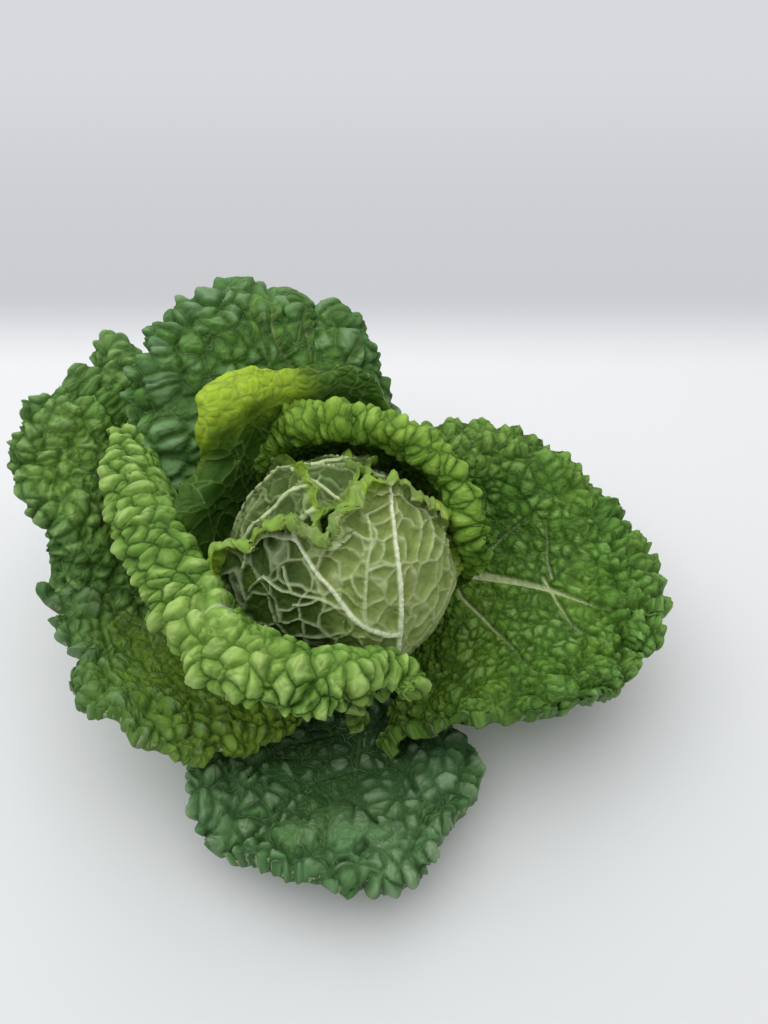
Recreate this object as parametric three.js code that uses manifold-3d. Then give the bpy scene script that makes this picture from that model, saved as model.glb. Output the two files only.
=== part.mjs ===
// A savoy cabbage with its loose outer leaves, standing on its cut stump.
// Millimetres, +Z up. The origin is the centre of the stump's cut face.
// Every leaf is a thin closed shell, grown from one rule: a round flat blade is bent along its midrib,
// cupped across it, and rolled back at its margin. A leaf's numbers say how far it does each.
import * as THREE from "three";
import { mergeVertices } from "three/addons/utils/BufferGeometryUtils.js";
import Module from "manifold-3d";

const wasm = await Module();
wasm.setup();

// ---- driving dimensions, mm and degrees ----
const STUMP_FOOT_RADIUS = 22; // the cut face that the cabbage stands on
const STUMP_RADIUS = 24; // where the outer leaves spring from it
const STUMP_TOP = 50; // the top of the cone of core inside the head
const CORE_RADIUS = 9; // of that cone at its top
const GAP = 0.35; // left between pieces that touch
const LAMINA = 1.6; // thickness of a leaf blade
const RIB_DEPTH = 5; // how far a big leaf's midrib stands out of its back, at its foot
const RIB_WIDTH = 9;
const HEAD_BASE = 30; // height at which the head leans off the stump's axis
const HEAD_RISE = 58; // from there to the head's centre
const HEAD_LEAN = 14; // degrees, towards -X
const BUD_RADIUS = 36; // the innermost leaves, closed into a ball
const BLADE_CENTRE = 0.55; // of a leaf's length, from its foot
const MIDRIB_STEPS = 60;
const ROLL_STEPS = 8;
const CELLS = 12; // squares along each side of a leaf's grid
const WELD = 1e-3; // corners nearer together than this are one

// ---- colours ----
const DARK = 0x466340; // the outermost leaves, blue-green
const MID = 0x567a3c;
const FRESH = 0x7a9c4c; // the rolled rims round the head
const PALE = 0x8b9d62; // the blanched backs of the head's leaves
const STEM = 0xc6c98f;

// ---- leaves, outermost first ----
// turn: compass direction of the midrib about +Z, from +X. foot: [distance from the axis, height].
// rise: slope of the midrib at its foot, middle and tip. sweep: how far the midrib turns sideways.
// wide: the reach of the [left, right] half, seen from the foot with the upper face up.
// cup: how far each half wraps inwards. lobes: how far each half sits back towards the foot.
// taper: how much narrower the blade gets towards its foot. band: width of margin that rolls.
// curl: how far the margin rolls outwards at the left, upper left, tip, upper right and right.
// wave: [height, number, phase] of the margin's waves. dent: [place, depth, half width] of a notch in it.
const LEAVES = [
  {
    name: "outer_leaf_front", colour: DARK, turn: 265, foot: [20, 6], length: 116,
    wide: [60, 78], lobes: [0, 0], taper: 0.45, rise: [18, 12, 4], sweep: 0, cup: [50, 20],
    curl: [20, 10, 0, 10, 10], band: 40, wave: [5, 5, 0.4],
  },
  {
    name: "outer_leaf_front_left", colour: DARK, turn: 191, foot: [20, 10], length: 145,
    wide: [74, 60], lobes: [0, 0], taper: 0.45, rise: [26, 26, 22], sweep: -5, cup: [40, 20],
    curl: [20, 10, 0, 10, 10], band: 40, wave: [5, 5, 0.4],
  },
  {
    name: "outer_leaf_right", colour: MID, turn: 0, foot: [20, 14], length: 135,
    wide: [132, 76], lobes: [98, 78], taper: 0.3, rise: [36, 20, 0], sweep: -8, cup: [108, 32],
    curl: [60, 30, 20, 10, 10], band: 40, wave: [4, 5, 1.1],
  },
  {
    name: "outer_leaf_left", colour: MID, turn: 151, foot: [20, 14], length: 200,
    wide: [80, 75], lobes: [0, 0], taper: 0.45, rise: [10, 55, 60], sweep: 0, cup: [20, 0],
    curl: [60, 60, 60, 60, 60], band: 45, wave: [5, 6, 2.0],
  },
  {
    name: "outer_leaf_back", colour: DARK, turn: 112, foot: [20, 16], length: 198,
    wide: [90, 54], lobes: [0, 0], taper: 0.45, rise: [35, 68, 50], sweep: 0, cup: [60, 45],
    curl: [60, 90, 100, 90, 60], band: 45, wave: [4, 6, 0.0],
  },
  {
    name: "outer_leaf_back_right", colour: DARK, turn: 58, foot: [20, 10], length: 128,
    wide: [60, 55], lobes: [0, 0], taper: 0.45, rise: [10, 30, 40], sweep: 0, cup: [30, 30],
    curl: [60, 60, 60, 60, 60], band: 35, wave: [4, 6, 0.0],
  },
  {
    name: "wrapper_leaf_front", colour: FRESH, turn: 217, foot: [18, 24], length: 134,
    wide: [102, 150], lobes: [-2, -14], taper: 0.85, rise: [20, 85, 85], sweep: 0, cup: [118, 30],
    curl: [130, 160, 165, 120, 80], band: 44, wave: [3, 6, 0.7],
  },
  {
    name: "wrapper_leaf_back", colour: MID, turn: 112, foot: [18, 26], length: 146,
    wide: [98, 44], lobes: [-20, 6], taper: 0.3, rise: [20, 100, 96], sweep: 0, cup: [68, 46],
    curl: [60, 140, 60, 0, 0], band: 24, wave: [3, 6, 0.9],
  },
  headLeaf(58, {
    name: "wrapper_leaf_right", colour: FRESH, turn: 70, length: 142,
    wide: [86, 86], lobes: [-40, 0], curl: [130, 150, 150, 150, 130], band: 20,
  }),
  headLeaf(52.5, {
    name: "heart_leaf_right", colour: PALE, turn: 288, length: 146, dent: [0, 34, 13],
    wide: [76, 76], lobes: [4, -34], curl: [60, 90, 90, 120, 90], band: 12,
  }),
  headLeaf(49, {
    name: "heart_leaf_left", colour: PALE, turn: 200, length: 146, dent: [0, 0, 1],
    wide: [72, 60], lobes: [-10, 0], curl: [0, 10, 20, 10, 0], band: 16,
  }),
  headLeaf(45.5, {
    name: "heart_leaf_back", colour: PALE, turn: 140, length: 150, dent: [0, 0, 1],
    wide: [62, 62], lobes: [0, 0], curl: [0, 10, 20, 10, 0], band: 16,
  }),
  headLeaf(42.5, {
    name: "heart_leaf_crown", colour: FRESH, turn: 25, length: 105, dent: [0, 0, 1],
    wide: [55, 55], lobes: [0, 0], curl: [0, 10, 20, 10, 0], band: 16,
  }),
];

const UP = new THREE.Vector3(0, 0, 1);

function radians(degrees) {
  return THREE.MathUtils.degToRad(degrees);
}

// A leaf of the closed head: part of a ball, with its foot underneath.
function headLeaf(radius, leaf) {
  const foot = 12;
  const start = THREE.MathUtils.radToDeg(Math.asin(foot / radius));
  const reach = THREE.MathUtils.radToDeg(leaf.length / radius);
  const height = HEAD_BASE + HEAD_RISE - Math.sqrt(radius * radius - foot * foot);
  return {
    ...leaf,
    foot: [foot, height],
    taper: 0.45,
    rise: [start, start + reach / 2, start + reach],
    sweep: 0,
    cup: leaf.wide.map((w) => THREE.MathUtils.radToDeg(w / radius)),
    wave: [1.5, 7, 0],
    head: true,
  };
}

// A value along a short list, eased between its entries, for t from 0 to 1.
function along(values, t) {
  const last = values.length - 1;
  const place = THREE.MathUtils.clamp(t, 0, 1) * last;
  const i = Math.min(Math.floor(place), last - 1);
  const f = THREE.MathUtils.smoothstep(place - i, 0, 1);
  return values[i] * (1 - f) + values[i + 1] * f;
}

// A quadratic Bezier value at t.
function bezier([a, b, c], t) {
  return a * (1 - t) * (1 - t) + 2 * b * t * (1 - t) + c * t * t;
}

// The midrib as stations at equal steps of its length, each with its point and two directions.
function midrib(leaf) {
  const stations = [];
  const step = leaf.length / MIDRIB_STEPS;
  const turn0 = radians(leaf.turn);
  const [reach, height] = leaf.foot;
  const point = new THREE.Vector3(reach * Math.cos(turn0), reach * Math.sin(turn0), height);
  for (let i = 0; i <= MIDRIB_STEPS; i++) {
    const t = i / MIDRIB_STEPS;
    const turn = turn0 + radians(leaf.sweep) * t;
    const rise = radians(bezier(leaf.rise, t));
    const out = new THREE.Vector3(Math.cos(turn), Math.sin(turn), 0);
    const tangent = out.clone().multiplyScalar(Math.cos(rise)).addScaledVector(UP, Math.sin(rise));
    const normal = out.clone().multiplyScalar(-Math.sin(rise)).addScaledVector(UP, Math.cos(rise));
    const side = tangent.clone().cross(normal);
    stations.push({ point: point.clone(), normal, side });
    point.addScaledVector(tangent, step);
  }
  return stations;
}

// The point of the bent blade at flat coordinates x, across, and y, along the midrib.
function bent(leaf, stations, x, y) {
  const place = THREE.MathUtils.clamp(y / leaf.length, 0, 1) * MIDRIB_STEPS;
  const i = Math.min(Math.floor(place), MIDRIB_STEPS - 1);
  const f = place - i;
  const [a, b] = [stations[i], stations[i + 1]];
  const point = a.point.clone().lerp(b.point, f);
  const normal = a.normal.clone().lerp(b.normal, f).normalize();
  const side = a.side.clone().lerp(b.side, f).normalize();
  const half = x < 0 ? 0 : 1;
  const bend = radians(leaf.cup[half]) / leaf.wide[half] + 1e-6;
  const angle = bend * Math.abs(x);
  point.addScaledVector(side, (Math.sign(x) * Math.sin(angle)) / bend);
  point.addScaledVector(normal, (1 - Math.cos(angle)) / bend);
  return point;
}

// Flat coordinates of a point of the unit disc, whose lowest point is the leaf's foot.
function flat(leaf, u, v) {
  const half = u < 0 ? 0 : 1;
  const narrow = v < 0 ? 1 - leaf.taper * v * v : 1;
  const reach = v < 0 ? BLADE_CENTRE : 1 - BLADE_CENTRE;
  const back = leaf.lobes[half] * u * u * (1 - v * v * v * v);
  return [leaf.wide[half] * u * narrow, leaf.length * (BLADE_CENTRE + reach * v) - back];
}

// The middle surface of a leaf at a point of the unit disc: radius rho, angle psi from the tip.
function bladePoint(leaf, stations, rho, psi) {
  const at = (r, p) => bent(leaf, stations, ...flat(leaf, r * Math.sin(p), r * Math.cos(p)));
  const [x1, y1] = flat(leaf, Math.sin(psi), Math.cos(psi));
  const radius = Math.hypot(x1, y1 - BLADE_CENTRE * leaf.length);
  const inner = Math.max(0.2, 1 - leaf.band / radius);
  const swing = THREE.MathUtils.clamp(psi / radians(110), -1, 1);
  const open = 1 - THREE.MathUtils.smoothstep(Math.abs(psi), radians(110), radians(160));
  const ripple = Math.sin(leaf.wave[1] * psi + leaf.wave[2]);
  const curl = radians(along(leaf.curl, (swing + 1) / 2)) * open;
  const from = Math.min(rho, inner);
  const point = at(from, psi);
  const outward = at(from + 0.01, psi).sub(at(from - 0.01, psi)).normalize();
  const around = at(Math.max(from, 0.01), psi + 0.02).sub(at(Math.max(from, 0.01), psi - 0.02));
  around.normalize();
  const normal = around.clone().cross(outward).normalize();
  const square = normal.clone().cross(around);
  if (rho > inner) {
    // the margin rolls about its own line, whatever the slant at which the leaf's ribs reach it
    const share = (rho - inner) / (1 - inner);
    const step = (share * (1 - inner) * radius) / ROLL_STEPS;
    const straight = step * outward.dot(square);
    point.addScaledVector(around, ROLL_STEPS * step * outward.dot(around));
    for (let k = 0; k < ROLL_STEPS; k++) {
      const turn = curl * Math.pow((share * (k + 0.5)) / ROLL_STEPS, 1.5);
      point.addScaledVector(square, straight * Math.cos(turn));
      point.addScaledVector(normal, -straight * Math.sin(turn));
    }
  }
  return point.addScaledVector(normal, leaf.wave[0] * Math.pow(rho, 4) * open * ripple);
}

// A point of the head, leaned off the stump's axis.
function leaned(point) {
  point.z -= HEAD_BASE;
  point.applyAxisAngle(new THREE.Vector3(0, 1, 0), radians(-HEAD_LEAN));
  point.z += HEAD_BASE;
  return point;
}

// The flat unit disc's point under a corner of the square grid.
function discPoint(i, j) {
  const a = (2 * i) / CELLS - 1;
  const b = (2 * j) / CELLS - 1;
  return [a * Math.sqrt(1 - (b * b) / 2), b * Math.sqrt(1 - (a * a) / 2)];
}

// The unit disc's radius, drawn in where the leaf's margin has a notch.
function dented(leaf, rho, psi) {
  if (!leaf.dent) return rho;
  const [place, depth, half] = leaf.dent;
  const [x, y] = flat(leaf, Math.sin(psi), Math.cos(psi));
  const radius = Math.hypot(x, y - BLADE_CENTRE * leaf.length);
  const drawn = depth * Math.exp(-(((THREE.MathUtils.radToDeg(psi) - place) / half) ** 2));
  return rho * (1 - (drawn / radius) * Math.pow(rho, 5));
}

// The middle surface as a grid of points, square in its own coordinates and round in the leaf's.
function sheet(leaf) {
  const stations = midrib(leaf);
  const grid = [];
  for (let j = 0; j <= CELLS; j++) {
    for (let i = 0; i <= CELLS; i++) {
      const [u, v] = discPoint(i, j);
      const psi = Math.atan2(u, v);
      const point = bladePoint(leaf, stations, dented(leaf, Math.hypot(u, v), psi), psi);
      grid.push(leaf.head ? leaned(point) : point);
    }
  }
  return grid;
}

// Two triangles for every square of a leaf's grid.
function gridIndex() {
  const n = CELLS + 1;
  const index = [];
  for (let j = 0; j < CELLS; j++) {
    for (let i = 0; i < CELLS; i++) {
      const k = j * n + i;
      index.push(k, k + 1, k + n + 1, k, k + n + 1, k + n);
    }
  }
  return index;
}

// A closed shell round a leaf's middle surface, with its midrib standing out of the back.
// Grown by a positive amount, it is the space that its neighbours keep clear of.
function leafGeometry(leaf, grown) {
  const n = CELLS + 1;
  const count = n * n;
  const points = sheet(leaf);
  const faces = gridIndex();
  const middle = new THREE.BufferGeometry().setFromPoints(points).setIndex(faces);
  middle.computeVertexNormals();
  const inside = (k) => THREE.MathUtils.clamp(k, 1, CELLS - 1);
  const upper = [];
  const lower = [];
  for (let j = 0; j < n; j++) {
    for (let i = 0; i < n; i++) {
      const k = j * n + i;
      const normal = new THREE.Vector3().fromBufferAttribute(middle.attributes.normal, k);
      const outward = points[k].clone().sub(points[inside(j) * n + inside(i)]).normalize();
      const point = points[k].clone().addScaledVector(outward, 1.5 * grown);
      const [x, y] = flat(leaf, ...discPoint(i, j));
      const fade = 1 - THREE.MathUtils.clamp(y / (0.9 * leaf.length), 0, 1);
      const rib = RIB_DEPTH * (leaf.length / 170) * fade * Math.exp(-((x / RIB_WIDTH) ** 2));
      upper.push(point.clone().addScaledVector(normal, LAMINA / 2 + grown));
      lower.push(point.clone().addScaledVector(normal, -LAMINA / 2 - rib - grown));
    }
  }
  const index = [...faces];
  for (let k = 0; k < faces.length; k += 3) {
    index.push(count + faces[k], count + faces[k + 2], count + faces[k + 1]);
  }
  const wall = (a, b) => index.push(a, count + a, count + b, a, count + b, b);
  for (let i = 0; i < CELLS; i++) {
    wall(i, i + 1);
    wall(CELLS * n + i + 1, CELLS * n + i);
    wall((i + 1) * n, i * n);
    wall(i * n + CELLS, (i + 1) * n + CELLS);
  }
  return new THREE.BufferGeometry().setFromPoints([...upper, ...lower]).setIndex(index);
}

// The stump: a flat cut foot, a swelling that carries the leaves, and a cone of core above it.
function stumpGeometry(grown) {
  const profile = [
    [0, -grown],
    [STUMP_FOOT_RADIUS - 1.5 + grown, -grown],
    [STUMP_FOOT_RADIUS + grown, 1.5],
    [STUMP_RADIUS - 1 + grown, 7],
    [STUMP_RADIUS + grown, 14],
    [STUMP_RADIUS - 4 + grown, 26],
    [CORE_RADIUS + 3 + grown, 38],
    [CORE_RADIUS + grown, STUMP_TOP - 2],
    [CORE_RADIUS - 2 + grown, STUMP_TOP + grown],
    [0, STUMP_TOP + grown],
  ];
  const points = profile.map(([r, z]) => new THREE.Vector2(r, z));
  return new THREE.LatheGeometry(points, 24).rotateX(Math.PI / 2);
}

// The bud, a little taller than wide, its foot on the top of the core.
function budGeometry(grown) {
  const geometry = new THREE.SphereGeometry(BUD_RADIUS + grown, 24, 14).rotateX(Math.PI / 2);
  geometry.translate(0, 0, HEAD_RISE);
  geometry.rotateY(radians(-HEAD_LEAN));
  return geometry.translate(0, 0, HEAD_BASE);
}

function solid(geometry) {
  const bare = geometry.clone();
  bare.deleteAttribute("normal");
  bare.deleteAttribute("uv");
  const merged = mergeVertices(bare, WELD);
  const mesh = new wasm.Mesh({
    numProp: 3,
    vertProperties: new Float32Array(merged.attributes.position.array),
    triVerts: new Uint32Array(merged.index.array),
  });
  return new wasm.Manifold(mesh);
}

// The largest body of a solid, as a geometry.
function largest(body) {
  const pieces = body.decompose();
  pieces.sort((a, b) => b.volume() - a.volume());
  const mesh = pieces[0].getMesh();
  const geometry = new THREE.BufferGeometry();
  geometry.setAttribute("position", new THREE.BufferAttribute(mesh.vertProperties, 3));
  geometry.setIndex(new THREE.BufferAttribute(mesh.triVerts, 1));
  return geometry;
}

const cabbage = new THREE.Group();

// Adds a piece: the largest body of a solid, with the specks dropped that welding sets free.
function addPiece(name, colour, body) {
  const geometry = largest(solid(largest(body)));
  const material = new THREE.MeshStandardMaterial({ color: colour, roughness: 0.5, metalness: 0 });
  const mesh = new THREE.Mesh(geometry, material);
  mesh.name = name;
  cabbage.add(mesh);
}

// Each piece gives way to those already placed: the stump first, then the bud, then outwards.
const stump = solid(stumpGeometry(0));
addPiece("stump", STEM, stump);
let taken = solid(stumpGeometry(GAP));
addPiece("heart_bud", FRESH, solid(budGeometry(0)).subtract(taken));
taken = taken.add(solid(budGeometry(GAP)));
for (const leaf of LEAVES.toReversed()) {
  const whole = solid(leafGeometry(leaf, 0));
  addPiece(leaf.name, leaf.colour, whole.subtract(taken));
  taken = taken.add(solid(leafGeometry(leaf, GAP))).add(whole);
}

export default cabbage;
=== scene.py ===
"""A savoy cabbage: a closed pale head, wrapper leaves rolled back round it and loose blistered outer leaves.

Every leaf is a bent sheet on which Geometry Nodes raise the blisters between the veins.
"""

import math

import bpy
import numpy as np
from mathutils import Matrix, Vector


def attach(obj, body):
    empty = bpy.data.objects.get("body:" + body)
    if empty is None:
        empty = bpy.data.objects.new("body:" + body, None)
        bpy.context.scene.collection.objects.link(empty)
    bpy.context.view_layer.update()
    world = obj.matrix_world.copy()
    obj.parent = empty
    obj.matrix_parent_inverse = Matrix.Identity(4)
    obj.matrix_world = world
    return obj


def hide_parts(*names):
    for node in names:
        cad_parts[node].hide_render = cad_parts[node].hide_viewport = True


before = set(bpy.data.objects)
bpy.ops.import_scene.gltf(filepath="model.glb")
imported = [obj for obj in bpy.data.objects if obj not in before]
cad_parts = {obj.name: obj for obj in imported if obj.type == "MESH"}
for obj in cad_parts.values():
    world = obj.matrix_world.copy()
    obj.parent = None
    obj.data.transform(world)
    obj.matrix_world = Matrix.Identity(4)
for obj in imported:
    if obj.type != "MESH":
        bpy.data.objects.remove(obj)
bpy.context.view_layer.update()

bl_info = {
    "name": "Savoy cabbage",
    "version": (1, 0, 0),
    "blender": (4, 5, 0),
    "location": "3D View > Sidebar > Cabbage",
    "description": "Builds a savoy cabbage leaf by leaf, with a plain pale stage",
    "category": "Add Mesh",
}

MM = 0.001

# ---- the leaves, outermost first: mm and degrees ----
# The bent sheet, much as in the solids; a pair gives the left and the right half, seen from the foot on the upper face.
#   ball: the radius of the ball that a leaf of the closed head is part of, instead of foot to cup below
#   turn: the way it points, from +X. foot: how far out and how high it starts. wide: how far each half reaches
#   lobes: how far each half falls back towards the foot. taper: how much the foot's half narrows
#   rise: its slope at the foot, half way and at the tip. sweep: how much it turns aside. cup: how far a half bends up
#   curl: how far the margin rolls outwards at the left, upper left, tip, upper right and right, over the width band
#   wave: height, number and phase of the margin's waves
#   dents, cuts: places on the margin, from the tip, with depth and half width; the roll follows dents, and where it is
#   cut, what is left rolls up as far; a negative depth bulges. notch: depth of the many small notches
# The veins.
#   root: where the midrib starts, and its heading. stem: its half width
#   boughs: main side veins: where they start, heading at first and further on, reach, half width
# The blisters, whose size is cell.
#   puff: their height on the blade and at the margin. lump: height of clusters of them. ruffle: of the margin's folds
#   bubbles: single big ones: where, radius, height. young: how much of the leaf is young and smooth, from its foot
#   rim_width: how far in the margin's height reaches. fine_rim: share of small blisters, of size frill, at the margin
#   coarse: spacing of the mesh, as a multiple. seed: of all that is random
LEAVES = [
    {
        "name": "outer_leaf_front", "turn": 265, "foot": (20, 6), "length": 116, "wide": (60, 78),
        "lobes": (0, 0), "taper": 0.45, "rise": (18, 12, 4), "sweep": 0, "cup": (50, 20),
        "curl": (20, 10, 0, 10, 10), "band": 40, "wave": (5, 5, 0.4), "dents": ((-64, 8, 20),), "notch": 5,
        "stem": 1.2,
        "cell": 8, "puff": (3.0, 4.6), "lump": 7, "ruffle": 7,
        "bubbles": ((3, 87, 14, 6), (21, 95, 9, 4), (-17, 90, 9, 4)), "young": 0.62, "coarse": 0.85,
        "seed": 11,
    },
    {
        "name": "outer_leaf_front_left", "turn": 191, "foot": (20, 10), "length": 145, "wide": (74, 60),
        "lobes": (0, 0), "taper": 0.45, "rise": (26, 26, 22), "sweep": -5, "cup": (40, 20),
        "curl": (20, 10, 0, 10, 10), "band": 40, "wave": (5, 5, 0.4),
        "dents": ((-20, 10, 18), (10, -9, 9), (4, 9, 2.5), (17, 9, 2.5)), "notch": 9,
        "cell": 7.5, "puff": (2.0, 3.6), "lump": 6, "ruffle": 8, "young": 0.85, "coarse": 0.9, "seed": 12,
    },
    {
        "name": "outer_leaf_right", "turn": 0, "foot": (20, 14), "length": 135, "wide": (132, 76),
        "lobes": (98, 78), "taper": 0.3, "rise": (36, 20, 0), "sweep": -8, "cup": (108, 32),
        "curl": (115, 80, 40, 10, 10), "band": 40, "wave": (4, 5, 1.1),
        "dents": ((-30, 6, 14), (26, 8, 8), (8, 5, 4)), "notch": 5,
        "root": (-42, 8, 19), "stem": 3.6,
        "boughs": (
            (-33, 29, 73, 52, 90, 1.1), (-31, 41, -38, -25, 45, 0.8), (-18, 80, -86, -75, 34, 0.6),
            (-19, 76, 70, 48, 60, 0.8),
        ),
        "cell": 6, "puff": (1.9, 4.2), "lump": 9, "ruffle": 8, "fine_rim": 0.5, "frill": 3.0, "coarse": 0.75,
        "seed": 13,
    },
    {
        "name": "outer_leaf_left", "turn": 151, "foot": (20, 14), "length": 200, "wide": (80, 75),
        "lobes": (0, 0), "taper": 0.45, "rise": (10, 55, 60), "sweep": 0, "cup": (20, 0),
        "curl": (60, 60, 60, 60, 60), "band": 45, "wave": (5, 6, 2.0),
        "dents": ((14, 14, 5), (28, -12, 7), (42, 16, 5), (-4, 12, 5)), "notch": 10,
        "cell": 7.2, "puff": (2.4, 3.8), "lump": 6, "ruffle": 9, "coarse": 0.9, "seed": 14,
    },
    {
        "name": "outer_leaf_back", "turn": 112, "foot": (20, 16), "length": 198, "wide": (90, 54),
        "lobes": (0, 0), "taper": 0.45, "rise": (35, 68, 50), "sweep": 0, "cup": (60, 45),
        "curl": (60, 90, 100, 90, 60), "band": 45, "wave": (4, 6, 0.0), "dents": ((4, 16, 12), (30, 20, 16)),
        "notch": 6,
        "cell": 9.5, "puff": (2.8, 4.8), "lump": 8, "ruffle": 8,
        "bubbles": ((-18, 186, 9, 5), (7, 180, 8, 5), (24, 168, 7, 4), (-8, 168, 8, 4)), "young": 0.6,
        "coarse": 0.95, "seed": 15,
    },
    {
        "name": "outer_leaf_back_right", "turn": 58, "foot": (20, 10), "length": 128, "wide": (60, 55),
        "lobes": (0, 0), "taper": 0.45, "rise": (10, 30, 40), "sweep": 0, "cup": (30, 30),
        "curl": (60, 60, 60, 60, 60), "band": 35, "wave": (4, 6, 0.0), "notch": 6,
        "cell": 10, "puff": (2.4, 3.8), "lump": 3, "ruffle": 5, "coarse": 1.6, "seed": 16,
    },
    {
        "name": "wrapper_leaf_front", "turn": 217, "foot": (18, 24), "length": 134, "wide": (102, 150),
        "lobes": (-2, -14), "taper": 0.85, "rise": (20, 85, 85), "sweep": 0, "cup": (118, 30),
        "curl": (130, 160, 165, 120, 80), "band": 44, "wave": (3, 6, 0.7),
        "cuts": ((-72, 19, 22), (-116, 27, 20)), "notch": 4,
        "stem": 3.0, "boughs": ((0, 97, 0, 0, 28, 1.9), (0, 50, 60, 45, 90, 1.0), (0, 50, -60, -45, 70, 1.0)),
        "cell": 7.6, "puff": (1.4, 4.6), "lump": 4.5, "ruffle": 5,
        "bubbles": ((-10, 112, 8, 3), (10, 106, 8, 3), (0, 109, 9, 0)), "rim_width": 48, "coarse": 0.75,
        "seed": 17,
    },
    {
        "name": "wrapper_leaf_back", "turn": 112, "foot": (18, 26), "length": 146, "wide": (98, 44),
        "lobes": (-20, 6), "taper": 0.3, "rise": (20, 100, 96), "sweep": 0, "cup": (68, 46),
        "curl": (60, 140, 60, 0, 0), "band": 24, "wave": (3, 6, 0.9), "dents": ((-26, -16, 12), (-52, 12, 14)),
        "notch": 4,
        "cell": 11, "puff": (-2.2, 1.2), "lump": 0, "ruffle": 5, "rim_width": 18, "fine_rim": 0.8,
        "coarse": 0.85, "seed": 18,
    },
    {
        "name": "wrapper_leaf_right", "ball": 58, "turn": 70, "length": 142, "wide": (86, 86),
        "lobes": (-40, 0), "curl": (130, 150, 150, 150, 130), "band": 20, "notch": 3,
        "cell": 6, "puff": (1.2, 3.2), "lump": 4, "ruffle": 4, "rim_width": 24, "fine_rim": 0, "frill": 2.4,
        "coarse": 0.75, "seed": 19,
    },
    {
        "name": "heart_leaf_left", "ball": 48.3, "turn": 200, "length": 146, "wide": (72, 60),
        "lobes": (-10, 0), "curl": (0, 10, 20, 10, 0), "band": 16, "notch": 3,
        "cell": 12, "puff": (2.2, 4.0), "ruffle": 7, "rim_width": 10, "fine_rim": 0.9, "frill": 3.8,
        "coarse": 1.1, "seed": 20,
    },
    {
        "name": "heart_leaf_right", "ball": 52.5, "turn": 288, "length": 150, "wide": (76, 76),
        "lobes": (4, -34), "curl": (20, 90, 140, 130, 90), "band": 14, "dents": ((0, 24, 15),), "notch": 4,
        "root": (-2, 44, -18), "stem": 1.0, "boughs": ((-11, 72, 55, 10, 90, 0.8),),
        "cell": 11, "puff": (2.6, 6.0), "ruffle": 11, "rim_width": 16, "fine_rim": 0.9, "frill": 4.4,
        "coarse": 0.58, "seed": 21,
    },
    {
        "name": "heart_leaf_back", "ball": 45.5, "turn": 140, "length": 150, "wide": (62, 62),
        "curl": (0, 10, 20, 10, 0), "band": 16, "notch": 2,
        "cell": 13, "puff": (1.8, 3.4), "ruffle": 7, "rim_width": 10, "fine_rim": 0.9, "frill": 3.8,
        "coarse": 1.0, "seed": 22,
    },
    {
        "name": "heart_leaf_crown", "ball": 42.5, "turn": 25, "length": 105, "wide": (55, 55),
        "curl": (0, 30, 60, 30, 0), "band": 14, "notch": 4,
        "cell": 9, "puff": (1.8, 3.6), "ruffle": 8, "rim_width": 12, "fine_rim": 0.9, "frill": 4.0,
        "coarse": 0.9, "seed": 23,
    },
]

# ---- shared shape, mm and degrees ----
HEAD_BASE = 30  # height at which the head leans off the stump's axis
HEAD_RISE = 58
HEAD_LEAN = 14  # towards -X
HEAD_FOOT = 12  # how far from its axis the leaves of the head start
BUD_RADIUS = 36
BLADE_CENTRE = 0.55  # of a leaf's length, from its foot
MIDRIB_STEPS = 60
ROLL_STEPS = 8
ROLL_EASE = 1.5  # power by which the roll tightens towards the edge
ROLL_SPAN = 110  # the margin's curls are spread this far to each side of the tip
ROLL_END = 160  # and by here it is flat
NOTCH_SPAN = 120  # the notches are full this far to each side of the tip
NOTCH_END = 165  # and by here they are gone
LAMINA = 1.3  # thickness of a leaf blade
RIM_LAMINA = 0.7  # at its very edge
RIM_TAPER = 8  # width over which the margin thins
RIB_DEPTH = 5
RIB_WIDTH = 9
HIDDEN_SIDE = 1.0  # further off the middle that a leaf's hidden, coarser side lies
BUD_LEAVES = 5  # leaf edges that wind round the bud
BUD_STEP = 2.2  # from one of them down to the next
BUD_SPACING = 1.4  # between the points of its mesh
STUMP_PROFILE = ((0, 20.5), (0.7, 21.6), (1.5, 22), (7, 23), (14, 24), (26, 20), (38, 12), (48, 9), (50, 7))
STUMP_SPACING = 1.0
BARK_REACH = 22  # the stump's radius, on which its scars are laid out
LEAF_SCARS = 13  # left on the stump by leaves that were pulled off
SCAR_TURN = 137.5  # from one leaf to the next round the stem
SCAR_HALF = (6.5, 2.6)  # half the width and height of a scar
STEM_HALF = 2.8  # half width of the midrib's foot
RIB_LENGTH = 170  # of a leaf whose midrib has just these sizes; they go with a leaf's length
VEIN_STEP = 4.0  # length of a vein's straight bits
VEIN_GAP = 3.5  # a vein ends where it comes this close to another
VEIN_TIP = 0.15  # half width at its end
LOBING = ((4.5, 0.55), (9, 0.3), (21, 0.25))  # half the number of notches all round, and their share of the depth
EDGE_CROWDING = 0.22  # how much closer together a leaf's points are near its margin
RIM_REACH = 60.0  # no distance from the margin is counted beyond this
YOUNG = 0.5  # share of a leaf that is young, where it doesn't say
COARSER = 1.0

# ---- the stage, m and degrees ----
FLOOR_REACH = 6.0
CAMERA_AIM = (0.0067, 0.0168, 0.0998)
CAMERA_AWAY = 0.4
CAMERA_RISE = 47  # above level


def colour(code):
    """An sRGB hex colour as linear RGBA."""
    parts = [int(code[i : i + 2], 16) / 255 for i in (1, 3, 5)]
    return tuple(p / 12.92 if p <= 0.04045 else ((p + 0.055) / 1.055) ** 2.4 for p in parts) + (1.0,)


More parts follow.
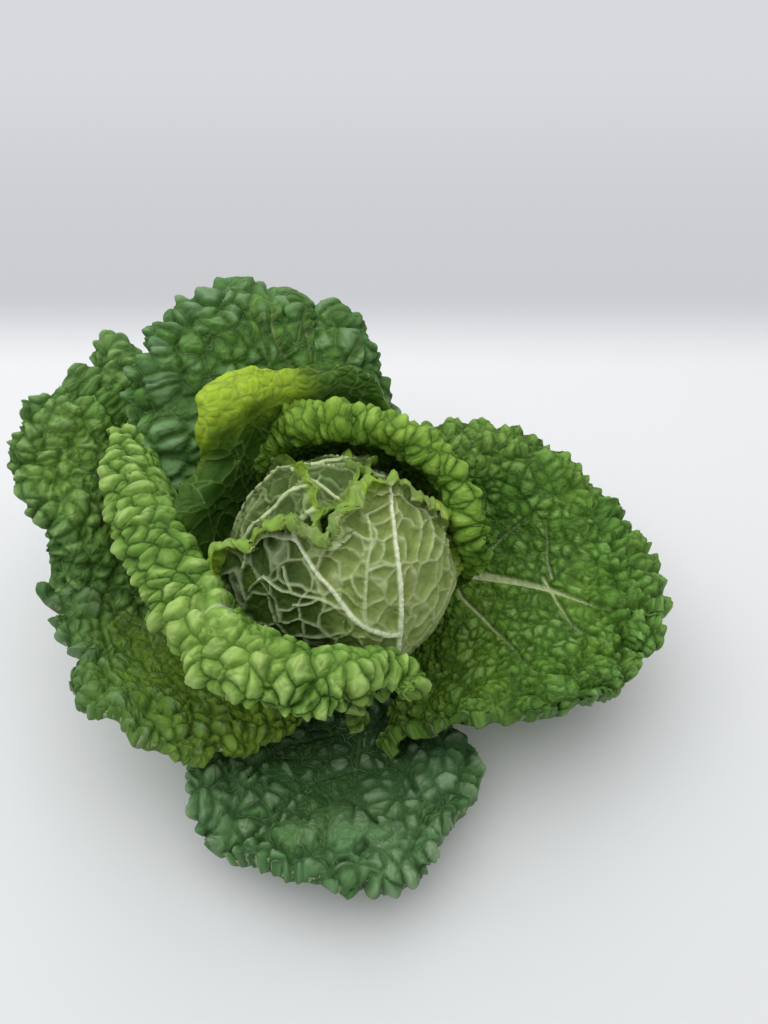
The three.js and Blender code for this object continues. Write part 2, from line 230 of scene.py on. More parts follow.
def add(tree, kind, inputs=None, out=0, **settings):
    """Adds a node with its settings, feeds its inputs with values or links, and gives one of its outputs."""
    node = tree.nodes.new(kind)
    for key, value in settings.items():
        setattr(node, key, value)
    for key, value in (inputs or {}).items():
        if isinstance(value, bpy.types.NodeSocket):
            tree.links.new(value, node.inputs[key])
        else:
            node.inputs[key].default_value = value
    return node.outputs[out] if node.outputs else node


def calc(tree, operation, *values):
    """What one step of arithmetic gives."""
    return add(tree, "ShaderNodeMath", dict(enumerate(values)), operation=operation)


def ranged(tree, value, *ends):
    """A value carried from one range to another: the ends of the first, then those of the second, if not 0 and 1."""
    return add(tree, "ShaderNodeMapRange", dict(enumerate((value, *ends))))


def blend(tree, share, first, second):
    """A number between two others."""
    return add(tree, "ShaderNodeMix", {0: share, 2: first, 3: second}, data_type="FLOAT")


# ---- the bent sheet of a leaf ----


def smooth(x, low, high):
    t = np.clip((x - low) / (high - low), 0, 1)
    return t * t * (3 - 2 * t)


def unit(v):
    return v / np.maximum(np.linalg.norm(v, axis=-1, keepdims=True), 1e-12)


def along(values, t):
    """A value along a short list, eased between its entries, for t from 0 to 1."""
    values = np.asarray(values, float)
    last = len(values) - 1
    place = np.clip(t, 0, 1) * last
    i = np.minimum(place.astype(int), last - 1)
    f = smooth(place - i, 0, 1)
    return values[i] * (1 - f) + values[i + 1] * f


def whole_leaf(leaf):
    """A leaf's full set of numbers. A leaf of the closed head is part of a ball, with its foot underneath."""
    if "ball" not in leaf:
        return {"head": False, **leaf}
    radius, foot = leaf["ball"], HEAD_FOOT
    start = math.degrees(math.asin(foot / radius))
    reach = math.degrees(leaf["length"] / radius)
    height = HEAD_BASE + HEAD_RISE - math.sqrt(radius * radius - foot * foot)
    return {
        "head": True,
        "foot": (foot, height),
        "lobes": (0, 0),
        "taper": 0.45,
        "rise": (start, start + reach / 2, start + reach),
        "sweep": 0,
        "cup": tuple(math.degrees(w / radius) for w in leaf["wide"]),
        "wave": (1.5, 7, 0),
        **leaf,
    }


def midrib(leaf):
    """Points, normals and sideways directions at equal steps of the midrib."""
    t = np.linspace(0, 1, MIDRIB_STEPS + 1)
    turn = np.radians(leaf["turn"] + leaf["sweep"] * t)
    a, b, c = leaf["rise"]
    rise = np.radians(a * (1 - t) ** 2 + 2 * b * t * (1 - t) + c * t * t)
    out = np.stack([np.cos(turn), np.sin(turn), 0 * t], -1)
    up = np.array([0.0, 0.0, 1.0])
    tangent = out * np.cos(rise)[:, None] + up * np.sin(rise)[:, None]
    normal = -out * np.sin(rise)[:, None] + up * np.cos(rise)[:, None]
    reach, height = leaf["foot"]
    start = np.array([reach * out[0, 0], reach * out[0, 1], height])
    steps = tangent * (leaf["length"] / MIDRIB_STEPS)
    points = start + np.concatenate([np.zeros((1, 3)), np.cumsum(steps[:-1], 0)])
    return points, normal, np.cross(tangent, normal)


def bent(leaf, stations, x, y):
    """Points of the bent blade at flat coordinates x, across, and y, along the midrib."""
    points, normals, sides = stations
    place = np.clip(y / leaf["length"], 0, 1) * MIDRIB_STEPS
    i = np.minimum(place.astype(int), MIDRIB_STEPS - 1)
    f = (place - i)[..., None]
    point = points[i] * (1 - f) + points[i + 1] * f
    normal = unit(normals[i] * (1 - f) + normals[i + 1] * f)
    side = unit(sides[i] * (1 - f) + sides[i + 1] * f)
    cup, wide = leaf["cup"], leaf["wide"]
    bend = np.where(x < 0, math.radians(cup[0]) / wide[0], math.radians(cup[1]) / wide[1]) + 1e-6
    angle = bend * np.abs(x)
    across = (np.sign(x) * np.sin(angle) / bend)[..., None]
    return point + side * across + normal * ((1 - np.cos(angle)) / bend)[..., None]


def flat(leaf, u, v):
    """Flat coordinates of points of the unit disc, whose lowest point is the leaf's foot."""
    wide = np.where(u < 0, leaf["wide"][0], leaf["wide"][1])
    lobes = np.where(u < 0, leaf["lobes"][0], leaf["lobes"][1])
    narrow = np.where(v < 0, 1 - leaf["taper"] * v * v, 1)
    reach = np.where(v < 0, BLADE_CENTRE, 1 - BLADE_CENTRE)
    return wide * u * narrow, leaf["length"] * (BLADE_CENTRE + reach * v) - lobes * u * u * (1 - v**4)


def blade(leaf, stations, rho, psi, dented, cut):
    """The leaf's middle surface at points of the unit disc: radius rho, angle psi from the tip.

    The margin rolls from its own edge, which the dented share of the radius moves in, and where part of it is cut
    away, what is left rolls up as far, into a thinner roll.
    """

    def at(r, p):
        return bent(leaf, stations, *flat(leaf, r * np.sin(p), r * np.cos(p)))

    x1, y1 = flat(leaf, np.sin(psi), np.cos(psi))
    radius = np.hypot(x1, y1 - BLADE_CENTRE * leaf["length"])
    edge = 1 - dented - cut
    inner = np.maximum(0.2, 1 - dented - leaf["band"] / radius)
    swing = np.clip(psi / math.radians(ROLL_SPAN), -1, 1)
    open_ = 1 - smooth(np.abs(psi), math.radians(ROLL_SPAN), math.radians(ROLL_END))
    ripple = np.sin(leaf["wave"][1] * psi + leaf["wave"][2])
    curl = np.radians(along(leaf["curl"], (swing + 1) / 2)) * open_
    start = np.minimum(rho, inner)
    point = at(start, psi)
    outward = unit(at(start + 0.01, psi) - at(start - 0.01, psi))
    middle = np.maximum(start, 0.01)
    around = unit(at(middle, psi + 0.02) - at(middle, psi - 0.02))
    normal = unit(np.cross(around, outward))
    square = np.cross(normal, around)
    share = np.clip((rho - inner) / (edge - inner), 0, None)
    step = share * (edge - inner) * radius / ROLL_STEPS
    # the margin rolls about its own line, whatever the slant at which the leaf's ribs reach it
    straight = step * np.sum(outward * square, -1)
    point = point + around * (ROLL_STEPS * step * np.sum(outward * around, -1))[..., None]
    for k in range(ROLL_STEPS):
        turn = curl * (share * (k + 0.5) / ROLL_STEPS) ** ROLL_EASE
        point = point + square * (straight * np.cos(turn))[..., None]
        point = point - normal * (straight * np.sin(turn))[..., None]
    return point + normal * (leaf["wave"][0] * rho**4 * open_ * ripple)[..., None]


def leaned(points):
    """Points of the head, leaned off the stump's axis."""
    angle = math.radians(-HEAD_LEAN)
    x, z = points[..., 0], points[..., 2] - HEAD_BASE
    turned = [x * math.cos(angle) + z * math.sin(angle), points[..., 1], z * math.cos(angle) - x * math.sin(angle)]
    turned[2] = turned[2] + HEAD_BASE
    return np.stack(turned, -1)


def grid_normals(points):
    """Vertex normals of a grid of points, from the normals of its squares."""
    face = np.cross(points[1:, 1:] - points[:-1, :-1], points[1:, :-1] - points[:-1, 1:])
    total = np.zeros_like(points)
    for rows in (slice(None, -1), slice(1, None)):
        for columns in (slice(None, -1), slice(1, None)):
            total[rows, columns] += face
    return unit(total)


# ---- the veins of a leaf, drawn on its flat blade ----


def grow_veins(leaf, random):
    """Segments of a leaf's midrib, side veins and branches: x, y, next x and y, half width, next half width, order.

    A vein ends where it meets another one, so that they form a net and never cross.
    """
    length, wide = leaf["length"], leaf["wide"]
    segments, taken = [], []

    # veins end a little short of the margin
    def inside(x, y):
        w = wide[0] if x < 0 else wide[1]
        y = y + leaf["lobes"][0 if x < 0 else 1] * (x / w) ** 2
        reach = length * (1 - BLADE_CENTRE if y > length * BLADE_CENTRE else BLADE_CENTRE)
        return (x / w) ** 2 + ((y - length * BLADE_CENTRE) / reach) ** 2 < 0.94

    def blocked(x, y, own):
        spots = np.array([t for t in taken if t[2] not in own])
        if not len(spots):
            return None
        gap = np.hypot(spots[:, 0] - x, spots[:, 1] - y)
        k = int(np.argmin(gap))
        return spots[k] if gap[k] < VEIN_GAP else None

    def grow(x, y, heading, reach, width, order, family, later=None):
        count = max(2, int(reach / VEIN_STEP))
        vein = len(taken) + 1
        own = (*family, vein)
        side = 1 if random.random() < 0.5 else -1
        rank = min(order, 2)
        apart = (0.1 * length, 15, 10)[rank]
        wander = (0.02, 0.11, 0.24)[rank]
        travelled = 0.0
        branches = []
        for k in range(count):
            t = k / count
            heading += random.normal(0, wander)
            # a bough eases towards its later heading, and other side veins bend towards the tip
            if later is not None:
                heading += 0.15 * (later - heading)
            elif order == 1:
                heading -= math.copysign(0.045, heading)
            x2, y2 = x + VEIN_STEP * math.sin(heading), y + VEIN_STEP * math.cos(heading)
            if order > 0 and not inside(x2, y2):
                break
            low, high = width * (1 - t) + VEIN_TIP, width * (1 - t - 1 / count) + VEIN_TIP
            met = blocked(x2, y2, own) if order > 0 and k > 1 else None
            if met is not None:
                segments.append((x, y, met[0], met[1], low, high, order))
                break
            segments.append((x, y, x2, y2, low, high, order))
            x, y = x2, y2
            taken.append((x, y, vein))
            travelled += VEIN_STEP
            if order < 3 and travelled >= apart and (order or "boughs" not in leaf):
                travelled = random.uniform(-0.25, 0.25) * apart
                side = -side
                spread = (1.2 - 0.5 * t, 0.8, 1.0)[rank] * random.uniform(0.85, 1.15)
                far = (1.4 * max(wide), 0.5 * (reach - k * VEIN_STEP) + 10, 14)[rank]
                thin = (0.32 * width * (1 - 0.6 * t) + 0.2, 0.4 * width * (1 - t), 0.05)[rank]
                branches.append((x, y, heading + side * spread, far, thin, order + 1, own))
        for branch in branches:
            waiting[min(order + 1, 3)].append(branch)

    waiting = {1: [], 2: [], 3: []}
    x, y, heading = leaf.get("root", (0.0, 0.0, 0.0))
    for x1, y1, turn, later, reach, width in leaf.get("boughs", ()):
        waiting[1].append((x1, y1, math.radians(turn), reach, width, 1, (1,), math.radians(later)))
    grow(x, y, math.radians(heading), length * 0.9, leaf.get("stem", STEM_HALF * length / RIB_LENGTH), 0, ())
    for order in (1, 2, 3):
        while waiting[order]:
            grow(*waiting[order].pop(0))
    return np.array(segments)


def vein_distance(segments, x, y):
    """How far points of the flat blade lie outside the nearest vein, mm: negative within it."""
    best = np.full(x.shape, 99.0)
    for x1, y1, x2, y2, w1, w2, _ in segments:
        dx, dy = x2 - x1, y2 - y1
        t = np.clip(((x - x1) * dx + (y - y1) * dy) / (dx * dx + dy * dy), 0, 1)
        d = np.hypot(x - x1 - t * dx, y - y1 - t * dy) - (w1 + (w2 - w1) * t)
        np.minimum(best, d, out=best)
    return best


# ---- meshes ----


def new_mesh(name, points, quads, triangles=(), floats=None, vectors=None):
    """A mesh of smooth faces from arrays, with its point attributes."""
    triangles = np.asarray(triangles, int).reshape(-1, 3)
    corners = np.concatenate([quads.ravel(), triangles.ravel()])
    starts = np.concatenate([np.arange(0, quads.size, 4), quads.size + np.arange(0, triangles.size, 3)])
    mesh = bpy.data.meshes.new(name)
    mesh.vertices.add(len(points))
    mesh.vertices.foreach_set("co", points.astype(np.float32).ravel())
    mesh.loops.add(corners.size)
    mesh.loops.foreach_set("vertex_index", corners.astype(np.int32))
    mesh.polygons.add(len(starts))
    mesh.polygons.foreach_set("loop_start", starts.astype(np.int32))
    mesh.polygons.foreach_set("use_smooth", np.ones(len(starts), bool))
    mesh.update(calc_edges=True)
    for key, values in (floats or {}).items():
        mesh.attributes.new(key, "FLOAT", "POINT").data.foreach_set("value", values.astype(np.float32).ravel())
    for key, values in (vectors or {}).items():
        mesh.attributes.new(key, "FLOAT_VECTOR", "POINT").data.foreach_set("vector", values.astype(np.float32).ravel())
    mesh.validate()
    return mesh


def ring_faces(rows, columns):
    """Squares between rings of points, and the fans that close the first and last ring on the two points after them."""
    index = np.arange(rows * columns).reshape(rows, columns)
    after = np.roll(index, -1, 1)
    quads = np.stack([index[:-1], index[1:], after[1:], after[:-1]], -1).reshape(-1, 4)
    first, last = np.full(columns, rows * columns), np.full(columns, rows * columns + 1)
    fans = [np.stack([index[0], after[0], first], -1), np.stack([after[-1], index[-1], last], -1)]
    return quads, np.concatenate(fans)


def shell_faces(rows, columns, turned):
    """A closed shell of two grids of points: a fine one, half as many rows and columns under it, and a wall between."""
    fine = np.arange(rows * columns).reshape(rows, columns)
    rows, columns = (rows + 1) // 2, (columns + 1) // 2
    plain = np.arange(rows * columns).reshape(rows, columns) + fine.size
    rings = []
    for index in (fine, plain):
        rings.append(np.concatenate([index[0, :-1], index[:-1, -1], index[-1, :0:-1], index[:0:-1, 0]]))
    start, half, end = rings[0][::2], rings[0][1::2], np.roll(rings[0], -2)[::2]
    below, next_below = rings[1], np.roll(rings[1], -1)
    quads = [
        np.stack([fine[:-1, :-1], fine[:-1, 1:], fine[1:, 1:], fine[1:, :-1]], -1).reshape(-1, 4),
        np.stack([plain[1:, :-1], plain[1:, 1:], plain[:-1, 1:], plain[:-1, :-1]], -1).reshape(-1, 4),
        np.stack([end, half, below, next_below], -1),
    ]
    quads, triangles = np.concatenate(quads), np.stack([half, start, below], -1)
    return (quads[:, ::-1], triangles[:, ::-1]) if turned else (quads, triangles)


def leaf_mesh(leaf, spacing):
    """A leaf's smooth shell, which carries the numbers that its blisters, veins and colours are made from."""
    leaf = whole_leaf(leaf)
    random = np.random.default_rng(leaf["seed"])
    spacing = spacing * leaf.get("coarse", 1.0)
    # odd numbers, because the hidden side of the leaf has every second row and column
    columns, rows = (int(size / spacing) // 2 * 2 + 1 for size in (0.9 * sum(leaf["wide"]), 0.95 * leaf["length"]))
    # closer together near the margin, where the blisters are small
    across, up = np.linspace(-1, 1, columns), np.linspace(-1, 1, rows)
    a, b = np.meshgrid(*(s + EDGE_CROWDING * np.sin(math.pi * s) / math.pi for s in (across, up)))
    u, v = a * np.sqrt(1 - b * b / 2), b * np.sqrt(1 - a * a / 2)
    rho, psi = np.hypot(u, v), np.arctan2(u, v)
    x1, y1 = flat(leaf, np.sin(psi), np.cos(psi))
    radius = np.hypot(x1, y1 - BLADE_CENTRE * leaf["length"])
    # rounded lobes with narrow notches between them
    phase = random.uniform(0, 6.28, 3)
    lobing = 0.0
    for k, (number, share) in enumerate(LOBING):
        lobing = lobing + share * (1 - np.abs(np.sin(number * psi + phase[k]))) ** 3
    open_ = 1 - smooth(np.abs(psi), math.radians(NOTCH_SPAN), math.radians(NOTCH_END))
    pulled = {"dents": 0 * psi, "cuts": 0 * psi}
    for key in pulled:
        for at, depth, half in leaf.get(key, ()):
            pulled[key] = pulled[key] + depth * np.exp(-(((np.degrees(psi) - at) / half) ** 2))
    dented, cut = pulled["dents"] / radius, pulled["cuts"] / radius
    # the deeper the pull, the further in it starts, so that the rows of points never cross
    share = dented + cut + leaf["notch"] * lobing * open_ / radius
    rho = rho * (1 - share * rho ** np.clip(0.8 / np.maximum(share, 0.01) - 1, 0.5, 5))
    x, y = flat(leaf, rho * np.sin(psi), rho * np.cos(psi))
    stations = midrib(leaf)
    points = blade(leaf, stations, rho, psi, dented, cut)
    before = blade(leaf, stations, np.maximum(rho - 0.01, 0), psi, dented, cut)
    outward = unit(points - before)
    if leaf["head"]:
        outward = leaned(points + outward) - leaned(points)
        points = leaned(points)
    normals = grid_normals(points)
    # a few blisters much bigger and smoother than the rest, a little wider than they are long
    calm = 0 * rho
    for at, up, size, tall in leaf.get("bubbles", ()):
        away = np.hypot(x - at, (y - up) * 1.15) / size
        calm = np.maximum(calm, 1 - smooth(away, 0.75, 1.05))
        points = points + normals * (tall * np.sqrt(np.clip(1 - away**2, 0, 1)))[..., None]
    rim = np.minimum((1 - np.maximum(np.abs(a), np.abs(b))) * radius, RIM_REACH)
    net = grow_veins(leaf, random)
    veins = vein_distance(net, x, y)
    stems = vein_distance(net[net[:, 6] < 2], x, y)
    fade = 1 - np.clip(y / (0.9 * leaf["length"]), 0, 1)
    rib = RIB_DEPTH * (leaf["length"] / RIB_LENGTH) * fade * np.exp(-((x / RIB_WIDTH) ** 2))
    thick = RIM_LAMINA + (LAMINA - RIM_LAMINA) * smooth(rim, 0, RIM_TAPER)
    youth = np.exp(-((np.hypot(x * 0.8, y) / (leaf.get("young", YOUNG) * leaf["length"])) ** 2))
    across = np.where(x < 0, x / leaf["wide"][0], x / leaf["wide"][1])
    # the head's leaves show their backs, and the others their upper faces
    shown_up = not leaf["head"]
    spare = HIDDEN_SIDE * smooth(rim, 0, RIM_TAPER)
    upper = points + normals * (thick / 2 + (0 if shown_up else spare))[..., None]
    lower = points - normals * (thick / 2 + rib + (spare if shown_up else 0))[..., None]
    shown, hidden = (upper, lower) if shown_up else (lower, upper)

    def both(fine, plain):
        return np.concatenate([a.reshape(-1, *a.shape[2:]) for a in (fine, plain[::2, ::2])])

    one = np.ones_like(rim)
    floats = {"rim": rim * MM, "vein": veins * MM, "stem": stems * MM, "youth": youth, "across": across, "calm": calm}
    floats = {name: both(values, values) for name, values in floats.items()}
    floats["upper"] = both(one * shown_up, one * (not shown_up))
    vectors = {"middle": both(points, points) * MM, "lift": both(normals, normals), "outward": both(outward, outward)}
    faces = shell_faces(rows, columns, not shown_up)
    return new_mesh(leaf["name"], both(shown, hidden) * MM, *faces, floats, vectors)


def bud_mesh(spacing):
    """The innermost leaves as one closed skin, which steps down where each leaf's edge winds round the ball."""
    rows, columns = int(math.pi * BUD_RADIUS / spacing), int(2 * math.pi * BUD_RADIUS / spacing)
    polar = np.linspace(0, math.pi, rows + 2)[1:-1, None]
    turn = np.linspace(0, 2 * math.pi, columns, endpoint=False)[None, :]
    normals = np.stack([np.sin(polar) * np.cos(turn), np.sin(polar) * np.sin(turn), np.cos(polar) + 0 * turn], -1)
    # the edges wind down round the ball, and waver a little
    seam = (turn / (2 * math.pi) * BUD_LEAVES + polar * 0.9 + 0.06 * np.sin(6 * polar + 2 * turn)) % 1.0
    radius = BUD_RADIUS - BUD_STEP * smooth(seam, 0.0, 0.9) * np.sin(polar)
    rim = seam * np.sin(polar) * 2 * math.pi * BUD_RADIUS / BUD_LEAVES
    poles = np.array([[0, 0, 1.0], [0, 0, -1.0]])
    normals = np.concatenate([normals.reshape(-1, 3), poles])
    centre = np.array([0, 0, HEAD_BASE + HEAD_RISE])
    points = normals * np.append(radius.ravel(), (BUD_RADIUS, BUD_RADIUS))[:, None] + centre
    lift = leaned(points + normals) - leaned(points)
    points = leaned(points)
    one = np.ones(len(points))
    floats = {"rim": np.append(rim.ravel(), (0, 0)) * MM, "vein": 0.02 * one, "stem": 0.02 * one, "youth": 0 * one}
    floats["upper"] = floats["across"] = floats["calm"] = 0 * one
    vectors = {"middle": points * MM, "lift": lift, "outward": 0 * points}
    return new_mesh("heart_bud", points * MM, *ring_faces(rows, columns), floats, vectors)


def stump_mesh(spacing):
    """The stump: a flat cut foot, a bark with the scars of pulled leaves, and the cone of core inside the head."""
    random = np.random.default_rng(3)
    heights, reaches = np.array(STUMP_PROFILE, float).T
    columns = int(2 * math.pi * STUMP_PROFILE[4][1] / spacing)
    # rings: from the middle of the top outwards, down the side, and in across the foot
    side = np.linspace(heights[-1], 0, int(heights[-1] / spacing))
    top = np.linspace(1, reaches[-1], 6)[:-1]
    foot = np.linspace(reaches[0], 1, 16)[1:]
    reach = np.concatenate([top, np.interp(side, heights, reaches), foot])[:, None]
    height = np.concatenate([heights[-1] + 0 * top, side, 0 * foot])[:, None]
    turn = np.linspace(0, 2 * math.pi, columns, endpoint=False)[None, :]
    swell = 0 * (reach + turn)
    bark = smooth(height, 1, 4) * (1 - smooth(height, 24, 30))
    for k in range(LEAF_SCARS):
        at, up = math.radians(SCAR_TURN * k), 4 + 19 * k / LEAF_SCARS + random.uniform(-1, 1)
        aside = (turn - at + math.pi) % (2 * math.pi) - math.pi
        droop = 0.04 * (aside * BARK_REACH) ** 2
        away = np.hypot(aside * BARK_REACH / SCAR_HALF[0], (height - up + droop) / SCAR_HALF[1])
        swell = swell + 0.7 * np.exp(-(((away - 1) / 0.3) ** 2)) - 0.5 * np.exp(-(away**4))
    swell = swell + 0.25 * np.sin(9 * turn + 0.3 * height) + 0.15 * np.sin(23 * turn + 1.0)
    reach = reach + bark * (swell - 0.6)
    points = np.stack([reach * np.cos(turn), reach * np.sin(turn), height + 0 * turn], -1).reshape(-1, 3)
    points = np.concatenate([points, [[0, 0, heights[-1]], [0, 0, 0]]])
    return new_mesh("stump", points * MM, *ring_faces(len(height), columns))


def blister_tree():
    """The tree that raises blisters between the veins, folds the margin and stands the veins out of the back."""
    tree = bpy.data.node_groups.new("savoy_blistering", "GeometryNodeTree")
    face = tree.interface
    face.new_socket(name="Geometry", in_out="INPUT", socket_type="NodeSocketGeometry")
    for name, default in (
        ("Blister Size", 0.009),
        ("Blade Height", 0.002),
        ("Rim Height", 0.004),
        ("Rim Width", 0.035),
        ("Fine Rim", 0.0),
        ("Frill Size", 0.0043),
        ("Lump Height", 0.003),
        ("Ruffle Height", 0.004),
        ("Knob Reach", 0.0022),
        ("Net Relief", 0.0006),
        ("Vein Relief", 0.0009),
        ("Seed", 1.0),
    ):
        face.new_socket(name=name, in_out="INPUT", socket_type="NodeSocketFloat").default_value = default
    face.new_socket(name="Material", in_out="INPUT", socket_type="NodeSocketMaterial")
    face.new_socket(name="Geometry", in_out="OUTPUT", socket_type="NodeSocketGeometry")
    given = tree.nodes.new("NodeGroupInput").outputs
    field = {}
    for kind, names in (
        ("FLOAT_VECTOR", ("middle", "lift", "outward")),
        ("FLOAT", ("rim", "vein", "stem", "youth", "upper", "calm")),
    ):
        for name in names:
            field[name] = add(tree, "GeometryNodeInputNamedAttribute", {"Name": name}, data_type=kind)
    rim, middle = field["rim"], field["middle"]

    # where a point lies among the blisters, one unit to a blister, bent by noise so that no two are alike
    shift = calc(tree, "MULTIPLY", given["Seed"], 7.3)
    shift = add(tree, "ShaderNodeCombineXYZ", {0: shift, 1: shift, 2: shift})
    per = calc(tree, "DIVIDE", 1.0, given["Blister Size"])
    cells = add(tree, "ShaderNodeVectorMath", {0: middle, 3: per}, operation="SCALE")
    cells = add(tree, "ShaderNodeVectorMath", {0: cells, 1: shift}, operation="ADD")
    for scale, reach in ((0.28, 1.4), (0.9, 0.7)):
        wander = add(tree, "ShaderNodeTexNoise", {"Vector": cells, "Scale": scale, "Detail": 1.0}, out=1)
        wander = add(tree, "ShaderNodeVectorMath", {0: wander, 1: (0.5, 0.5, 0.5)}, operation="SUBTRACT")
        wander = add(tree, "ShaderNodeVectorMath", {0: wander, 3: reach}, operation="SCALE")
        cells = add(tree, "ShaderNodeVectorMath", {0: cells, 1: wander}, operation="ADD")

    # on the upper face only the main veins draw the tissue in, and on the back they all do
    drawn = blend(tree, field["upper"], field["vein"], field["stem"])
    beside = ranged(tree, drawn, 0.0, 0.0022, 1.0, 0.0)
    inward = ranged(tree, rim, 0.012, 0.032)
    inward = blend(tree, field["upper"], 1.0, inward)
    beside = calc(tree, "MULTIPLY", beside, inward)
    frill = calc(tree, "DIVIDE", given["Blister Size"], given["Frill Size"])
    # domes with narrow creases between them, at three sizes: clusters, blisters, and the small ones on their backs
    creases, domes = [], []
    for scale, crease_width in ((0.36, 0.25), (1.0, 0.4), (frill, 0.4)):
        look = {"Vector": cells, "Scale": scale}
        out = add(tree, "ShaderNodeTexVoronoi", look, feature="F1")
        out = calc(tree, "MULTIPLY", out, out)
        dome = ranged(tree, out, 0.0, 0.96, 1.0, 0.0)
        dome = calc(tree, "SQRT", dome)
        edge = add(tree, "ShaderNodeTexVoronoi", look, feature="DISTANCE_TO_EDGE")
        crease = ranged(tree, edge, 0.0, crease_width, 1.0, 0.0)
        crease = calc(tree, "MAXIMUM", crease, beside)
        groove = calc(tree, "MULTIPLY", crease, crease)
        groove = calc(tree, "SUBTRACT", 1.0, groove)
        groove = calc(tree, "SQRT", groove)
        creases.append(crease)
        domes.append(calc(tree, "MULTIPLY", dome, groove))
    cluster, big, small = domes
    tone = add(tree, "ShaderNodeTexVoronoi", {"Vector": cells, "Scale": 1.0}, out=1, feature="F1")
    tone = add(tree, "ShaderNodeSeparateXYZ", {0: tone})

    # how tall they are: each one different, more towards the margin, less on young leaf
    near = ranged(tree, rim, 0.0, given["Rim Width"], 1.0, 0.0)
    near = calc(tree, "MULTIPLY", near, 2.2)
    near = calc(tree, "SMOOTH_MIN", near, 1.0, 0.3)
    fine = calc(tree, "MULTIPLY", near, given["Fine Rim"])
    size = ranged(tree, tone, 0.0, 1.0, 0.75, 1.25)
    backs = ranged(tree, small, 0.0, 1.0, 0.8, 1.0)
    size = calc(tree, "MULTIPLY", size, backs)
    puffed = calc(tree, "MULTIPLY", big, size)
    frilled = calc(tree, "MULTIPLY", small, 0.8)
    puffed = blend(tree, fine, puffed, frilled)
    grown = ranged(tree, field["youth"], 0.0, 1.0, 1.0, 0.25)
    blade_height = calc(tree, "MULTIPLY", given["Blade Height"], grown)
    tall = blend(tree, near, blade_height, given["Rim Height"])
    rest = ranged(tree, field["calm"], 0.0, 1.0, 1.0, 0.12)
    height = calc(tree, "MULTIPLY", puffed, tall)
    height = calc(tree, "MULTIPLY", height, rest)
    lumpy = ranged(tree, near, 0.0, 1.0, 0.35, 1.0)
    lumpy = calc(tree, "MULTIPLY", lumpy, given["Lump Height"])
    lumpy = calc(tree, "MULTIPLY", lumpy, grown)
    height = calc(tree, "MULTIPLY_ADD", lumpy, cluster, height)

    # the very edge turns down, so that it ends in a row of round blisters
    lip = ranged(tree, rim, 0.0, 0.003, 1.0, 0.0)
    lip = calc(tree, "MULTIPLY", lip, lip)
    lip = calc(tree, "SUBTRACT", 1.0, lip)
    lip = calc(tree, "SQRT", lip)
    height = calc(tree, "MULTIPLY", height, lip)

    # slow swells of the blade, wrinkles all over it, folds of the margin and quick crumples at its edge
    for reach, scale, share in ((0.2, 24.0, 0.9), (0.3, 230.0, 0.22), (0.04, 46.0, 2.6), (0.014, 110.0, 1.6)):
        amount = ranged(tree, rim, 0.0, reach, 1.0, 0.0)
        amount = calc(tree, "MULTIPLY", amount, amount)
        amount = calc(tree, "MULTIPLY", amount, given["Ruffle Height"])
        amount = calc(tree, "MULTIPLY", amount, grown)
        fold = {"Vector": middle, "Scale": scale, "Detail": 1.0, "W": given["Seed"]}
        fold = add(tree, "ShaderNodeTexNoise", fold, noise_dimensions="4D")
        fold = ranged(tree, fold, 0.0, 1.0, -0.5 * share, 0.5 * share)
        height = calc(tree, "MULTIPLY_ADD", fold, amount, height)

    # veins stand out of the back, and a little out of the upper face
    net = calc(tree, "POWER", creases[1], 4.0)
    net = calc(tree, "MULTIPLY", net, given["Net Relief"])
    main = ranged(tree, field["vein"], 0.0, 0.0011, 1.0, 0.0)
    main = calc(tree, "SQRT", main)
    main = calc(tree, "MULTIPLY", main, given["Vein Relief"])
    relief = calc(tree, "MAXIMUM", net, main)
    relief = calc(tree, "MULTIPLY", relief, -1.0)
    ridge = calc(tree, "MULTIPLY", main, 0.3)
    relief = blend(tree, field["upper"], relief, ridge)
    height = calc(tree, "ADD", height, relief)

    # knobs along the very edge, where blisters stick out past the creases between them
    knob = ranged(tree, rim, 0.0, 0.008, given["Knob Reach"], 0.0)
    bump = calc(tree, "SUBTRACT", big, 0.6)
    knob = calc(tree, "MULTIPLY", bump, knob)
    offset = add(tree, "ShaderNodeVectorMath", {0: field["lift"], 3: height}, operation="SCALE")
    sideways = add(tree, "ShaderNodeVectorMath", {0: field["outward"], 3: knob}, operation="SCALE")
    offset = add(tree, "ShaderNodeVectorMath", {0: offset, 1: sideways}, operation="ADD")
    geometry = add(tree, "GeometryNodeSetPosition", {"Geometry": given["Geometry"], "Offset": offset})
    for name, kind, value in (
        ("cells", "FLOAT_VECTOR", cells),
        ("bulge", "FLOAT", puffed),
        ("swell", "FLOAT", cluster),
    ):
        inputs = {"Geometry": geometry, "Name": name, "Value": value}
        geometry = add(tree, "GeometryNodeStoreNamedAttribute", inputs, data_type=kind, domain="POINT")
    geometry = add(tree, "GeometryNodeRealizeInstances", {"Geometry": geometry})
    geometry = add(tree, "GeometryNodeSetMaterial", {"Geometry": geometry, "Material": given["Material"]})
    add(tree, "NodeGroupOutput", {0: geometry})
    return tree


